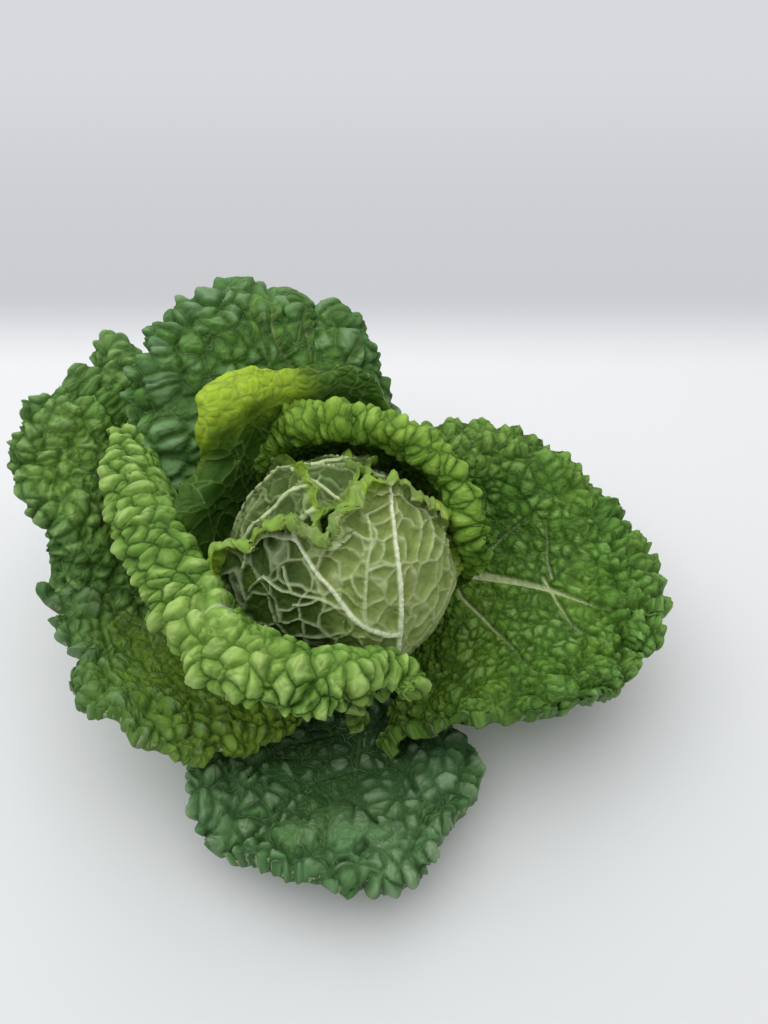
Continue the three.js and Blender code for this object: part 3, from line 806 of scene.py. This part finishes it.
def shaped(tree, mesh, name, values):
    """The plain mesh that a Geometry Nodes tree makes of a base mesh, as a finished object."""
    base = bpy.data.objects.new(name + "_base", mesh)
    bpy.context.scene.collection.objects.link(base)
    modifier = base.modifiers.new("shape", "NODES")
    modifier.node_group = tree
    for item in tree.interface.items_tree:
        if item.in_out == "INPUT" and item.name in values:
            modifier[item.identifier] = values[item.name]
    base.update_tag()
    bpy.context.view_layer.update()
    evaluated = base.evaluated_get(bpy.context.evaluated_depsgraph_get())
    result = bpy.data.meshes.new_from_object(evaluated)
    bpy.data.objects.remove(base)
    bpy.data.meshes.remove(mesh)
    result.name = name
    piece = bpy.data.objects.new(name, result)
    bpy.context.scene.collection.objects.link(piece)
    return piece


# ---- materials ----


def leaf_tissue(name, look):
    """Living leaf: waxy and soft-edged, lit through a little, paler along its veins, with painted shade in the creases,
    on the slopes and in the valleys between its blisters and a painted highlight on their tops.
    """
    material = bpy.data.materials.new(name)
    material.use_nodes = True
    tree = material.node_tree
    shader = tree.nodes["Principled BSDF"]
    field = {}
    for out, names in (
        (1, ("cells", "middle")),
        (2, ("rim", "vein", "stem", "youth", "across", "upper", "bulge", "swell", "calm")),
    ):
        for key in names:
            field[key] = add(tree, "ShaderNodeAttribute", {}, out=out, attribute_name=key)
    cells, place = field["cells"], field["middle"]
    field["edge"] = add(tree, "ShaderNodeTexVoronoi", {"Vector": cells, "Scale": 1.0}, feature="DISTANCE_TO_EDGE")
    field["fine"] = add(tree, "ShaderNodeTexVoronoi", {"Vector": cells, "Scale": 2.1}, feature="DISTANCE_TO_EDGE")
    field["patch"] = add(tree, "ShaderNodeTexNoise", {"Vector": place, "Scale": 32.0, "Detail": 2.0})
    field["mottle"] = add(tree, "ShaderNodeTexNoise", {"Vector": place, "Scale": 260.0, "Detail": 3.0})

    # masks, each eased from one value of a field to another; only the hood and the heart's front leaf have a side
    mask = {}
    side = look.get("side", 0.0)
    for key, source, low, high, to_low, to_high in (
        ("margin", "rim", 0.0, look["margin"], 1.0, 0.0),
        ("patches", "patch", 0.35, 0.65, 0.4, 1.5),
        ("uneven", "patch", 0.38, 0.62, 1.0, 0.6),
        ("warm", "patch", 0.42, 0.68, 0.0, 1.0),
        # the next three mark the creases between blisters, their slopes, and the valleys between clusters of them,
        # where the faces lay painted shade; on the backs the creases get a pale net instead
        ("crease", "edge", 0.0, 0.09, 1.0, 0.0),
        ("slope", "edge", 0.05, 0.3, 1.0, 0.0),
        ("valley_shade", "swell", 0.15, 0.6, 1.0, 0.0),
        ("line", "edge", 0.0, look["line"], 1.0, 0.0),
        ("hair", "fine", 0.0, 0.07, 1.0, 0.0),
        ("inward", "rim", 0.006, 0.04, 0.0, 1.0),
        ("vein", "vein", 0.0, 0.0008, 1.0, 0.0),
        ("halo", "vein", 0.0, 0.003, 1.0, 0.0),
        ("stem", "stem", 0.0, 0.0005, 1.0, 0.0),
        ("stout", "stem", -0.0001, -0.0006, 0.35, 1.0),
        # the young part near the foot: its own tissue colour on most leaves, and painted shade on the outermost leaves,
        # the lowest front leaf and the hood, where others shade them
        ("young", "youth", 0.1, 0.75, 0.0, 1.0),
        ("side", "across", side, side + 0.25, 0.0, 1.0),
        ("far", "across", -0.72, -0.55, 1.0, 0.0),
        # the tops of the blisters: on the faces a painted highlight, over a grey bloom of wax on the outer leaves; on
        # the back of the heart's front leaf these are its sunken cells, darkened as painted shade
        ("top", "bulge", 0.5, 0.95, 0.0, 1.0),
        ("shade", "mottle", 0.3, 0.7, 0.9, 1.08),
        ("rough", "mottle", 0.3, 0.7, look["rough"] - 0.06, look["rough"] + 0.08),
        ("small", "fine", 0.0, 0.25, 0.0, 0.6),
    ):
        inputs = {0: field[source], 1: low, 2: high, 3: to_low, 4: to_high}
        mask[key] = add(tree, "ShaderNodeMapRange", inputs, interpolation_type="SMOOTHSTEP")
    edging = {0: mask["margin"], 1: mask["patches"]}
    mask["margin"] = add(tree, "ShaderNodeMath", edging, operation="MULTIPLY", use_clamp=True)
    # no creases on the big smooth blisters
    busy = calc(tree, "SUBTRACT", 1.0, field["calm"])
    busy = calc(tree, "MULTIPLY", busy, mask["uneven"])
    for key, share in (("crease", busy), ("slope", busy), ("line", mask["uneven"])):
        mask[key] = calc(tree, "MULTIPLY", mask[key], share)
    # the wider veins are the paler ones, and only they show on the upper face
    mask["rib"] = calc(tree, "MULTIPLY", mask["stem"], mask["inward"])
    mask["rib"] = calc(tree, "MULTIPLY", mask["rib"], mask["stout"])

    # colours laid over one another: the upper face, then the back
    sides = []
    for layers in (look["face"], look["back"]):
        tint = colour(layers[0])
        for key, code, share in layers[1:]:
            amount = calc(tree, "MULTIPLY", mask[key], share)
            tint = add(tree, "ShaderNodeMix", {0: amount, 6: tint, 7: colour(code)}, out=2, data_type="RGBA")
        sides.append(tint)
    tissue = add(tree, "ShaderNodeMix", {0: field["upper"], 6: sides[1], 7: sides[0]}, out=2, data_type="RGBA")
    tissue = add(tree, "ShaderNodeVectorMath", {0: tissue, 3: mask["shade"]}, operation="SCALE")
    tree.links.new(tissue, shader.inputs["Base Color"])
    tree.links.new(mask["rough"], shader.inputs["Roughness"])
    # the finest net of veins, drawn at about 4 mm, and a grain of about 4 mm down to 0.5 mm, coarse enough to show
    relief = calc(tree, "ADD", field["mottle"], mask["small"])
    bump = add(tree, "ShaderNodeBump", {"Height": relief, "Strength": 0.6, "Distance": 0.0008})
    tree.links.new(bump, shader.inputs["Normal"])
    shader.inputs["IOR"].default_value = 1.42
    shader.inputs["Specular IOR Level"].default_value = 0.15
    shader.inputs["Subsurface Weight"].default_value = look["glow"]
    shader.inputs["Subsurface Radius"].default_value = (0.9, 1.6, 0.35)
    shader.inputs["Subsurface Scale"].default_value = 0.0007
    return material


# the back of the outer leaves: paler and greyer, with a pale net
WAXY_BACK = (
    "#7d9468", ("margin", "#5d7a55", 0.8), ("young", "#a8b784", 0.8), ("halo", "#b4c496", 0.3),
    ("crease", "#b4c496", 0.35), ("hair", "#b4c496", 0.25), ("line", "#b4c496", 0.8),
    ("vein", "#c6d0a6", 0.95),
)
# the back of the wrapper leaves, which is the inside of the cup that they make round the head: green and shaded
FRESH_BACK = (
    "#4a6a28", ("margin", "#7ea34c", 0.8), ("young", "#3c5a20", 0.8), ("halo", "#5f7f3e", 0.3),
    ("crease", "#5f7f3e", 0.35), ("line", "#7f9f5a", 0.7), ("vein", "#8fa86c", 0.95),
)
# for each kind of tissue: how far in its margin's colour reaches, m; how wide the lines of its net are, as a share of
# a blister; its roughness; how much light passes into it; where across the leaf its other side starts; and the
# colours of its face and its back, each from the main one to the layers over it: where, what, how much
LOOKS = {
    # the outermost leaves: thick, blue-green, with a grey bloom of wax and a painted highlight on the blisters, and
    # painted shade at the foot
    "savoy_leaf_waxy_blue_green": {
        "margin": 0.05, "line": 0.03, "rough": 0.48, "glow": 0.1,
        "face": (
            "#5f8c34", ("margin", "#587e4e", 0.9), ("warm", "#5e8a38", 0.5), ("young", "#2c4a1c", 0.8),
            ("top", "#86a67c", 0.6), ("valley_shade", "#2f541e", 0.5), ("slope", "#365e26", 0.6),
            ("crease", "#1a360e", 0.75), ("line", "#8fac70", 0.4), ("rib", "#9db070", 0.6),
        ),
        "back": WAXY_BACK,
    },
    # the same leaf where light reaches its foot, which is yellow
    "savoy_leaf_waxy_yellow_foot": {
        "margin": 0.05, "line": 0.03, "rough": 0.48, "glow": 0.1,
        "face": (
            "#557d36", ("margin", "#4a7048", 1.0), ("young", "#8aae38", 1.0), ("top", "#76966e", 0.5),
            ("valley_shade", "#2f5420", 0.35), ("slope", "#3b6428", 0.45), ("crease", "#1c380e", 0.5),
            ("line", "#8fac70", 0.4), ("rib", "#9db070", 0.6),
        ),
        "back": WAXY_BACK,
    },
    # the lowest leaf at the front: the same, darkest where the others shade it
    "savoy_leaf_waxy_shaded": {
        "margin": 0.06, "line": 0.03, "rough": 0.48, "glow": 0.1,
        "face": (
            "#5a8446", ("margin", "#6c9462", 1.0), ("young", "#18321a", 0.95), ("top", "#93af86", 0.6),
            ("valley_shade", "#32562a", 0.5), ("slope", "#386430", 0.6), ("crease", "#183614", 0.75),
            ("line", "#98b282", 0.4), ("rib", "#7a9462", 0.3),
        ),
        "back": WAXY_BACK,
    },
    # leaves half way in: fresher green, yellow towards the foot
    "savoy_leaf_green": {
        "margin": 0.035, "line": 0.03, "rough": 0.48, "glow": 0.12,
        "face": (
            "#6e9a44", ("margin", "#628a52", 1.0), ("warm", "#86a840", 0.4), ("young", "#5d7f2c", 0.9),
            ("top", "#94b670", 0.6), ("valley_shade", "#34561a", 0.5), ("slope", "#406822", 0.6),
            ("crease", "#1a380a", 0.75), ("line", "#94b466", 0.35), ("rib", "#b4c48a", 0.7),
        ),
        "back": (
            "#7f9a62", ("margin", "#5f8048", 0.8), ("young", "#a9b97e", 0.8), ("halo", "#b6c890", 0.3),
            ("crease", "#b6c890", 0.35), ("hair", "#b6c890", 0.25), ("line", "#b6c890", 0.8),
            ("vein", "#c9d3a4", 0.95),
        ),
    },
    # the same at the right, where its far rim catches the light
    "savoy_leaf_green_light_rim": {
        "margin": 0.03, "line": 0.03, "rough": 0.48, "glow": 0.12,
        "face": (
            "#5a8832", ("margin", "#6e9850", 1.0), ("warm", "#7ca232", 0.4), ("far", "#82a84e", 0.85),
            ("young", "#66882a", 0.9), ("top", "#8eb266", 0.6), ("valley_shade", "#2e4e12", 0.5),
            ("slope", "#3a621a", 0.6), ("crease", "#183608", 0.75), ("line", "#94b460", 0.25),
            ("rib", "#bccb94", 0.85),
        ),
        "back": (*WAXY_BACK, ("margin", "#4a6e30", 0.9)),
    },
    # the leaf rolled back at the front of the head: light fresh green
    "savoy_leaf_fresh_green": {
        "margin": 0.05, "line": 0.025, "rough": 0.44, "glow": 0.12,
        "face": (
            "#7ba64a", ("margin", "#8fb252", 1.0), ("young", "#55792c", 1.0), ("top", "#b4d07a", 0.65),
            ("valley_shade", "#4a7024", 0.4), ("slope", "#4e7826", 0.6), ("crease", "#1f3e0a", 0.75),
            ("rib", "#d2deb6", 0.95),
        ),
        "back": FRESH_BACK,
    },
    # the frilled leaf against the head: bright yellow-green
    "savoy_leaf_bright_green": {
        "margin": 0.03, "line": 0.025, "rough": 0.44, "glow": 0.15,
        "face": (
            "#78a83a", ("margin", "#8cb040", 1.0), ("young", "#769e36", 1.0), ("top", "#a4c660", 0.6),
            ("valley_shade", "#507a24", 0.4), ("slope", "#4a7622", 0.6), ("crease", "#1c3a08", 0.75),
            ("rib", "#ccd9ae", 0.95),
        ),
        "back": FRESH_BACK,
    },
    # the hood behind the head: dark inside, its own dark green deepened with painted shade, darkest towards its foot,
    # with a pale net and a thin yellow-green margin made bright as painted light shining through it
    "savoy_leaf_netted": {
        "margin": 0.03, "line": 0.05, "rough": 0.48, "glow": 0.15, "side": -0.2,
        "face": (
            "#3a5e1e", ("young", "#2a4614", 0.7), ("margin", "#a8c63a", 0.95), ("side", "#3a5e20", 0.95),
            ("far", "#34561c", 0.95), ("crease", "#4a6e2c", 0.3), ("line", "#7a9a52", 0.55), ("rib", "#86a060", 0.8),
        ),
        "back": (
            "#6f8c4c", ("margin", "#9dbd3c", 0.8), ("young", "#a9b97e", 0.8), ("halo", "#b6c890", 0.3),
            ("line", "#b6c890", 0.8), ("vein", "#c9d3a4", 0.95),
        ),
    },
    # the closed front leaf of the head: blanched on one side and dark green on the other, where painted shade deepens
    # its greener tissue under the rolled front leaf; with stout white veins, and painted shade in the sunken cells of
    # its back
    "savoy_leaf_blanched": {
        "margin": 0.014, "line": 0.1, "rough": 0.42, "glow": 0.15, "side": 0.02,
        "face": (
            "#7c9450", ("margin", "#86a848", 1.0), ("young", "#93a260", 1.0), ("top", "#93b35a", 0.4),
            ("crease", "#56722f", 0.5), ("line", "#b3c68c", 0.4), ("rib", "#b9c694", 0.8),
        ),
        "back": (
            "#91a45c", ("young", "#a3b46e", 0.5), ("side", "#2c4714", 0.95), ("top", "#66822f", 0.35),
            ("margin", "#98ba34", 0.95), ("line", "#d6e2b2", 0.5), ("vein", "#d6e2b2", 0.6), ("stem", "#eaf2d0", 0.95),
        ),
    },
    # the leaves behind it, which it shades
    "savoy_leaf_blanched_shaded": {
        "margin": 0.007, "line": 0.08, "rough": 0.42, "glow": 0.15,
        "face": (
            "#5c7a34", ("margin", "#86a848", 1.0), ("young", "#6f8644", 1.0), ("crease", "#3f5a20", 0.5),
            ("line", "#8fa868", 0.4), ("rib", "#b9c694", 0.8),
        ),
        "back": (
            "#4a602c", ("young", "#4a602e", 0.5), ("margin", "#8fb03a", 0.9), ("line", "#a3b37c", 0.35),
            ("vein", "#a3b37c", 0.55), ("stem", "#cfdba6", 0.8),
        ),
    },
}
SHADED_HEART = "savoy_leaf_blanched_shaded"  # of the leaves that aren't named here, and of the bud
LOOK_OF = {
    "outer_leaf_front": "savoy_leaf_waxy_shaded",
    "outer_leaf_front_left": "savoy_leaf_waxy_yellow_foot",
    "outer_leaf_back": "savoy_leaf_waxy_blue_green",
    "outer_leaf_back_right": "savoy_leaf_waxy_blue_green",
    "outer_leaf_right": "savoy_leaf_green_light_rim",
    "outer_leaf_left": "savoy_leaf_green",
    "wrapper_leaf_front": "savoy_leaf_fresh_green",
    "wrapper_leaf_right": "savoy_leaf_bright_green",
    "wrapper_leaf_back": "savoy_leaf_netted",
    "heart_leaf_right": "savoy_leaf_blanched",
}


def cut_stem(name):
    """A cabbage's stem: pale fibrous flesh, slightly dried where it was cut, with greener bark."""
    material = bpy.data.materials.new(name)
    material.use_nodes = True
    tree = material.node_tree
    shader = tree.nodes["Principled BSDF"]
    place = add(tree, "ShaderNodeTexCoord", {}, out=3)
    x, y, z = (add(tree, "ShaderNodeSeparateXYZ", {0: place}, out=k) for k in range(3))
    flat_place = add(tree, "ShaderNodeCombineXYZ", {0: x, 1: y, 2: 0.0})
    out = add(tree, "ShaderNodeVectorMath", {0: flat_place}, out=1, operation="LENGTH")
    fibre = add(tree, "ShaderNodeTexNoise", {"Vector": place, "Scale": 900.0, "Detail": 3.0})
    cloud = add(tree, "ShaderNodeTexNoise", {"Vector": place, "Scale": 120.0, "Detail": 3.0})
    flesh = colour("#d5d6a6")
    for value, low, high, tint, share in (
        (cloud, 0.45, 0.75, "#bdb889", 0.7),
        (out, 0.0145, 0.0165, "#a9ad74", 0.6),
        (out, 0.0175, 0.0195, "#d9dab2", 0.8),
        (out, 0.0205, 0.022, "#8a8f58", 0.8),
        (z, 0.002, 0.006, "#a3ad72", 0.8),
        (fibre, 0.5, 0.8, "#9a9462", 0.4),
    ):
        mask = ranged(tree, value, low, high, 0.0, share)
        flesh = add(tree, "ShaderNodeMix", {0: mask, 6: flesh, 7: colour(tint)}, out=2, data_type="RGBA")
    tree.links.new(flesh, shader.inputs["Base Color"])
    bump = add(tree, "ShaderNodeBump", {"Height": fibre, "Strength": 0.5, "Distance": 0.0006})
    tree.links.new(bump, shader.inputs["Normal"])
    shader.inputs["Roughness"].default_value = 0.68
    shader.inputs["IOR"].default_value = 1.4
    return material


# ---- settings ----


class CabbageSettings(bpy.types.PropertyGroup):
    """Sizes and colours that a user would change."""

    mesh_spacing: bpy.props.FloatProperty(
        name="Mesh spacing", description="Distance between the points of a leaf's mesh", default=1.0 * MM, min=0.0005,
        unit="LENGTH",
    )
    blister_scale: bpy.props.FloatProperty(
        name="Blister height", description="Scales the height of all blisters", default=1.0, min=0.0, max=2.0
    )
    ruffle_scale: bpy.props.FloatProperty(
        name="Ruffle height", description="Scales the folds of all leaf margins", default=1.0, min=0.0, max=2.0
    )
    floor_colour: bpy.props.FloatVectorProperty(
        name="Floor colour", description="Colour of the pale floor", default=colour("#e9ebec")[:3], subtype="COLOR",
        size=3, min=0.0, max=1.0,
    )


def tissue(look):
    """The material of a kind of tissue, made once."""
    return bpy.data.materials.get(look) or leaf_tissue(look, LOOKS[look])


def blistering():
    """The tree that all leaves share, made once."""
    return bpy.data.node_groups.get("savoy_blistering") or blister_tree()


def build_leaf(context, leaf):
    settings = context.scene.cabbage
    name = leaf["name"]
    group = name.split("_")[0]
    blanched = group == "heart"
    piece = shaped(
        blistering(),
        leaf_mesh(leaf, settings.mesh_spacing / MM * COARSER),
        name + "_blade",
        {
            "Blister Size": leaf["cell"] * MM,
            "Blade Height": leaf["puff"][0] * MM * settings.blister_scale,
            "Rim Height": leaf["puff"][1] * MM * settings.blister_scale,
            "Rim Width": leaf.get("rim_width", 40) * MM,
            "Fine Rim": leaf.get("fine_rim", 0.0),
            "Frill Size": leaf.get("frill", leaf["cell"] / 2.1) * MM,
            "Lump Height": leaf.get("lump", 0.0) * MM * settings.blister_scale,
            "Ruffle Height": leaf["ruffle"] * MM * settings.ruffle_scale,
            # tall blisters stick out further at the margin
            "Knob Reach": 0.0007 * leaf["puff"][1] + 0.0006,
            "Net Relief": 0.0009 if blanched else 0.0005,
            "Vein Relief": 0.0014 if blanched else 0.0009,
            "Seed": float(leaf["seed"]),
            "Material": tissue(LOOK_OF.get(name, SHADED_HEART)),
        },
    )
    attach(piece, "root")
    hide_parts(name)


def build_bud(context):
    settings = context.scene.cabbage
    values = {
        "Blister Size": 11 * MM,
        "Blade Height": 1.6 * MM * settings.blister_scale,
        "Rim Height": 2.0 * MM * settings.blister_scale,
        "Rim Width": 8 * MM,
        "Fine Rim": 0.7,
        "Frill Size": 5 * MM,
        "Lump Height": 0.0,
        "Ruffle Height": 1 * MM * settings.ruffle_scale,
        "Knob Reach": 0.0,
        "Net Relief": 0.9 * MM,
        "Vein Relief": 1.2 * MM,
        "Seed": 31.0,
        "Material": tissue(SHADED_HEART),
    }
    piece = shaped(blistering(), bud_mesh(BUD_SPACING * COARSER), "heart_bud_skin", values)
    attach(piece, "root")
    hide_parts("heart_bud")


def build_stump(context):
    mesh = stump_mesh(STUMP_SPACING * COARSER)
    mesh.materials.append(cut_stem("cabbage_stem_cut"))
    piece = bpy.data.objects.new("stump_cut", mesh)
    context.scene.collection.objects.link(piece)
    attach(piece, "root")
    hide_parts("stump")


def seen_straight(tree):
    """1 for what the camera sees, also in a reflection or through glass, and 0 for what lights the object."""
    path = tree.nodes.new("ShaderNodeLightPath").outputs
    seen = calc(tree, "MAXIMUM", path["Is Camera Ray"], path["Is Glossy Ray"])
    return calc(tree, "MAXIMUM", seen, path["Is Transmission Ray"])


def build_stage(context):
    scene = context.scene
    # the floor is matt white paper: hardly any sheen, so that it takes soft shadows
    mesh = bpy.data.meshes.new("floor")
    corners = [(x * FLOOR_REACH, y * FLOOR_REACH, 0) for x, y in ((-1, -1), (1, -1), (1, 1), (-1, 1))]
    mesh.from_pydata(corners, [], [(0, 1, 2, 3)])
    floor = bpy.data.objects.new("floor", mesh)
    scene.collection.objects.link(floor)
    material = bpy.data.materials.new("matt_white_paper")
    material.use_nodes = True
    tree = material.node_tree
    shader = tree.nodes["Principled BSDF"]
    place = add(tree, "ShaderNodeTexCoord", {}, out=3)
    y = add(tree, "ShaderNodeSeparateXYZ", {0: place}, out=1)
    seen = seen_straight(tree)
    mask = add(tree, "ShaderNodeMapRange", {0: y, 1: -0.1, 2: 0.2}, interpolation_type="SMOOTHSTEP")
    paper = tuple(scene.cabbage.floor_colour) + (1.0,)
    paper = add(tree, "ShaderNodeMix", {0: mask, 6: paper, 7: colour("#f0f1f3")}, out=2, data_type="RGBA")
    tree.links.new(paper, shader.inputs["Base Color"])
    shader.inputs["Roughness"].default_value = 0.9
    shader.inputs["Specular IOR Level"].default_value = 0.1
    # further back, and far off all round, the paper shows the camera a plain backdrop colour instead
    flat_place = add(tree, "ShaderNodeVectorMath", {0: place, 1: (1, 1, 0)}, operation="MULTIPLY")
    away = add(tree, "ShaderNodeVectorMath", {0: flat_place}, out=1, operation="LENGTH")
    mask = add(tree, "ShaderNodeMapRange", {0: y, 1: 0.35, 2: 0.9}, interpolation_type="SMOOTHSTEP")
    round_mask = add(tree, "ShaderNodeMapRange", {0: away, 1: 0.9, 2: 2.0}, interpolation_type="SMOOTHSTEP")
    mask = calc(tree, "MAXIMUM", mask, round_mask)
    tint = {0: mask, 6: colour("#cbcdd1"), 7: colour("#d7d9dc")}
    tint = add(tree, "ShaderNodeMix", tint, out=2, data_type="RGBA")
    backdrop = add(tree, "ShaderNodeEmission", {"Color": tint, "Strength": 1.0})
    mask = add(tree, "ShaderNodeMapRange", {0: y, 1: 0.25, 2: 0.36}, interpolation_type="SMOOTHSTEP")
    round_mask = add(tree, "ShaderNodeMapRange", {0: away, 1: 0.5, 2: 0.8}, interpolation_type="SMOOTHSTEP")
    mask = calc(tree, "MAXIMUM", mask, round_mask)
    mask = calc(tree, "MULTIPLY", mask, seen)
    paper = add(tree, "ShaderNodeMixShader", {0: mask, 1: shader.outputs[0], 2: backdrop})
    tree.links.new(paper, tree.nodes["Material Output"].inputs["Surface"])
    mesh.materials.append(material)
    # lights
    for name, place, size, power, tint in (
        ("soft_top", (-0.1, 0.25, 1.2), 2.2, 22.0, "#ffffff"),
        ("soft_left", (-1.0, -0.3, 0.9), 0.9, 2.2, "#f7fbff"),
        ("soft_front", (0.6, -1.0, 0.9), 0.9, 1.5, "#fffdf8"),
    ):
        data = bpy.data.lights.new(name, "AREA")
        data.size = size
        data.energy = power
        data.color = colour(tint)[:3]
        light = bpy.data.objects.new(name, data)
        light.location = place
        light.rotation_euler = (Vector((0, 0, 0.05)) - Vector(place)).to_track_quat("-Z", "Y").to_euler()
        scene.collection.objects.link(light)
    # world
    world = bpy.data.worlds.new("studio")
    scene.world = world
    world.use_nodes = True
    tree = world.node_tree
    tree.nodes.clear()
    seen = seen_straight(tree)
    sky = add(tree, "ShaderNodeBackground", {0: colour("#f2f4f6"), 1: 0.24})
    backdrop = add(tree, "ShaderNodeBackground", {0: colour("#d7d9dc"), 1: 1.0})
    mixed = add(tree, "ShaderNodeMixShader", {0: seen, 1: sky, 2: backdrop})
    add(tree, "ShaderNodeOutputWorld", {0: mixed})
    # camera
    data = bpy.data.cameras.new("camera")
    data.lens = 30.0
    data.sensor_width = 36.0
    camera = bpy.data.objects.new("camera", data)
    rise = math.radians(CAMERA_RISE)
    camera.location = Vector(CAMERA_AIM) + CAMERA_AWAY * Vector((0, -math.cos(rise), math.sin(rise)))
    camera.rotation_euler = (math.pi / 2 - rise, 0, 0)
    scene.collection.objects.link(camera)
    scene.camera = camera
    scene.view_settings.view_transform = "Standard"


class CABBAGE_OT_outer_leaves(bpy.types.Operator):
    """Add the loose outer leaves"""

    bl_idname = "cabbage.outer_leaves"
    bl_label = "Outer leaves"

    def execute(self, context):
        for leaf in LEAVES:
            if leaf["name"].startswith("outer"):
                build_leaf(context, leaf)
        return {"FINISHED"}


class CABBAGE_OT_wrapper_leaves(bpy.types.Operator):
    """Add the leaves that are rolled back round the head"""

    bl_idname = "cabbage.wrapper_leaves"
    bl_label = "Wrapper leaves"

    def execute(self, context):
        for leaf in LEAVES:
            if leaf["name"].startswith("wrapper"):
                build_leaf(context, leaf)
        return {"FINISHED"}


class CABBAGE_OT_heart_leaves(bpy.types.Operator):
    """Add the closed leaves of the head"""

    bl_idname = "cabbage.heart_leaves"
    bl_label = "Heart leaves"

    def execute(self, context):
        for leaf in LEAVES:
            if leaf["name"].startswith("heart"):
                build_leaf(context, leaf)
        return {"FINISHED"}


class CABBAGE_OT_bud(bpy.types.Operator):
    """Add the bud inside the head"""

    bl_idname = "cabbage.bud"
    bl_label = "Bud"

    def execute(self, context):
        build_bud(context)
        return {"FINISHED"}


class CABBAGE_OT_stump(bpy.types.Operator):
    """Add the cut stump"""

    bl_idname = "cabbage.stump"
    bl_label = "Stump"

    def execute(self, context):
        build_stump(context)
        return {"FINISHED"}


class CABBAGE_OT_stage(bpy.types.Operator):
    """Add the pale floor, the soft lights and the camera"""

    bl_idname = "cabbage.stage"
    bl_label = "Stage"

    def execute(self, context):
        build_stage(context)
        return {"FINISHED"}


class CABBAGE_PT_panel(bpy.types.Panel):
    """Lists the steps that build the cabbage"""

    bl_label = "Savoy cabbage"
    bl_space_type = "VIEW_3D"
    bl_region_type = "UI"
    bl_category = "Cabbage"

    def draw(self, context):
        for name in ("mesh_spacing", "blister_scale", "ruffle_scale", "floor_colour"):
            self.layout.prop(context.scene.cabbage, name)
        for step in STEPS:
            self.layout.operator(step.bl_idname)


STEPS = (
    CABBAGE_OT_outer_leaves,
    CABBAGE_OT_wrapper_leaves,
    CABBAGE_OT_heart_leaves,
    CABBAGE_OT_bud,
    CABBAGE_OT_stump,
    CABBAGE_OT_stage,
)
CLASSES = (CabbageSettings, *STEPS, CABBAGE_PT_panel)


def register():
    for kind in CLASSES:
        bpy.utils.register_class(kind)
    bpy.types.Scene.cabbage = bpy.props.PointerProperty(type=CabbageSettings)


def unregister():
    del bpy.types.Scene.cabbage
    for kind in reversed(CLASSES):
        bpy.utils.unregister_class(kind)


def main():
    register()
    bpy.ops.cabbage.outer_leaves()
    bpy.ops.cabbage.wrapper_leaves()
    bpy.ops.cabbage.heart_leaves()
    bpy.ops.cabbage.bud()
    bpy.ops.cabbage.stump()
    bpy.ops.cabbage.stage()
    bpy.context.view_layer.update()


if __name__ == "__main__":
    main()
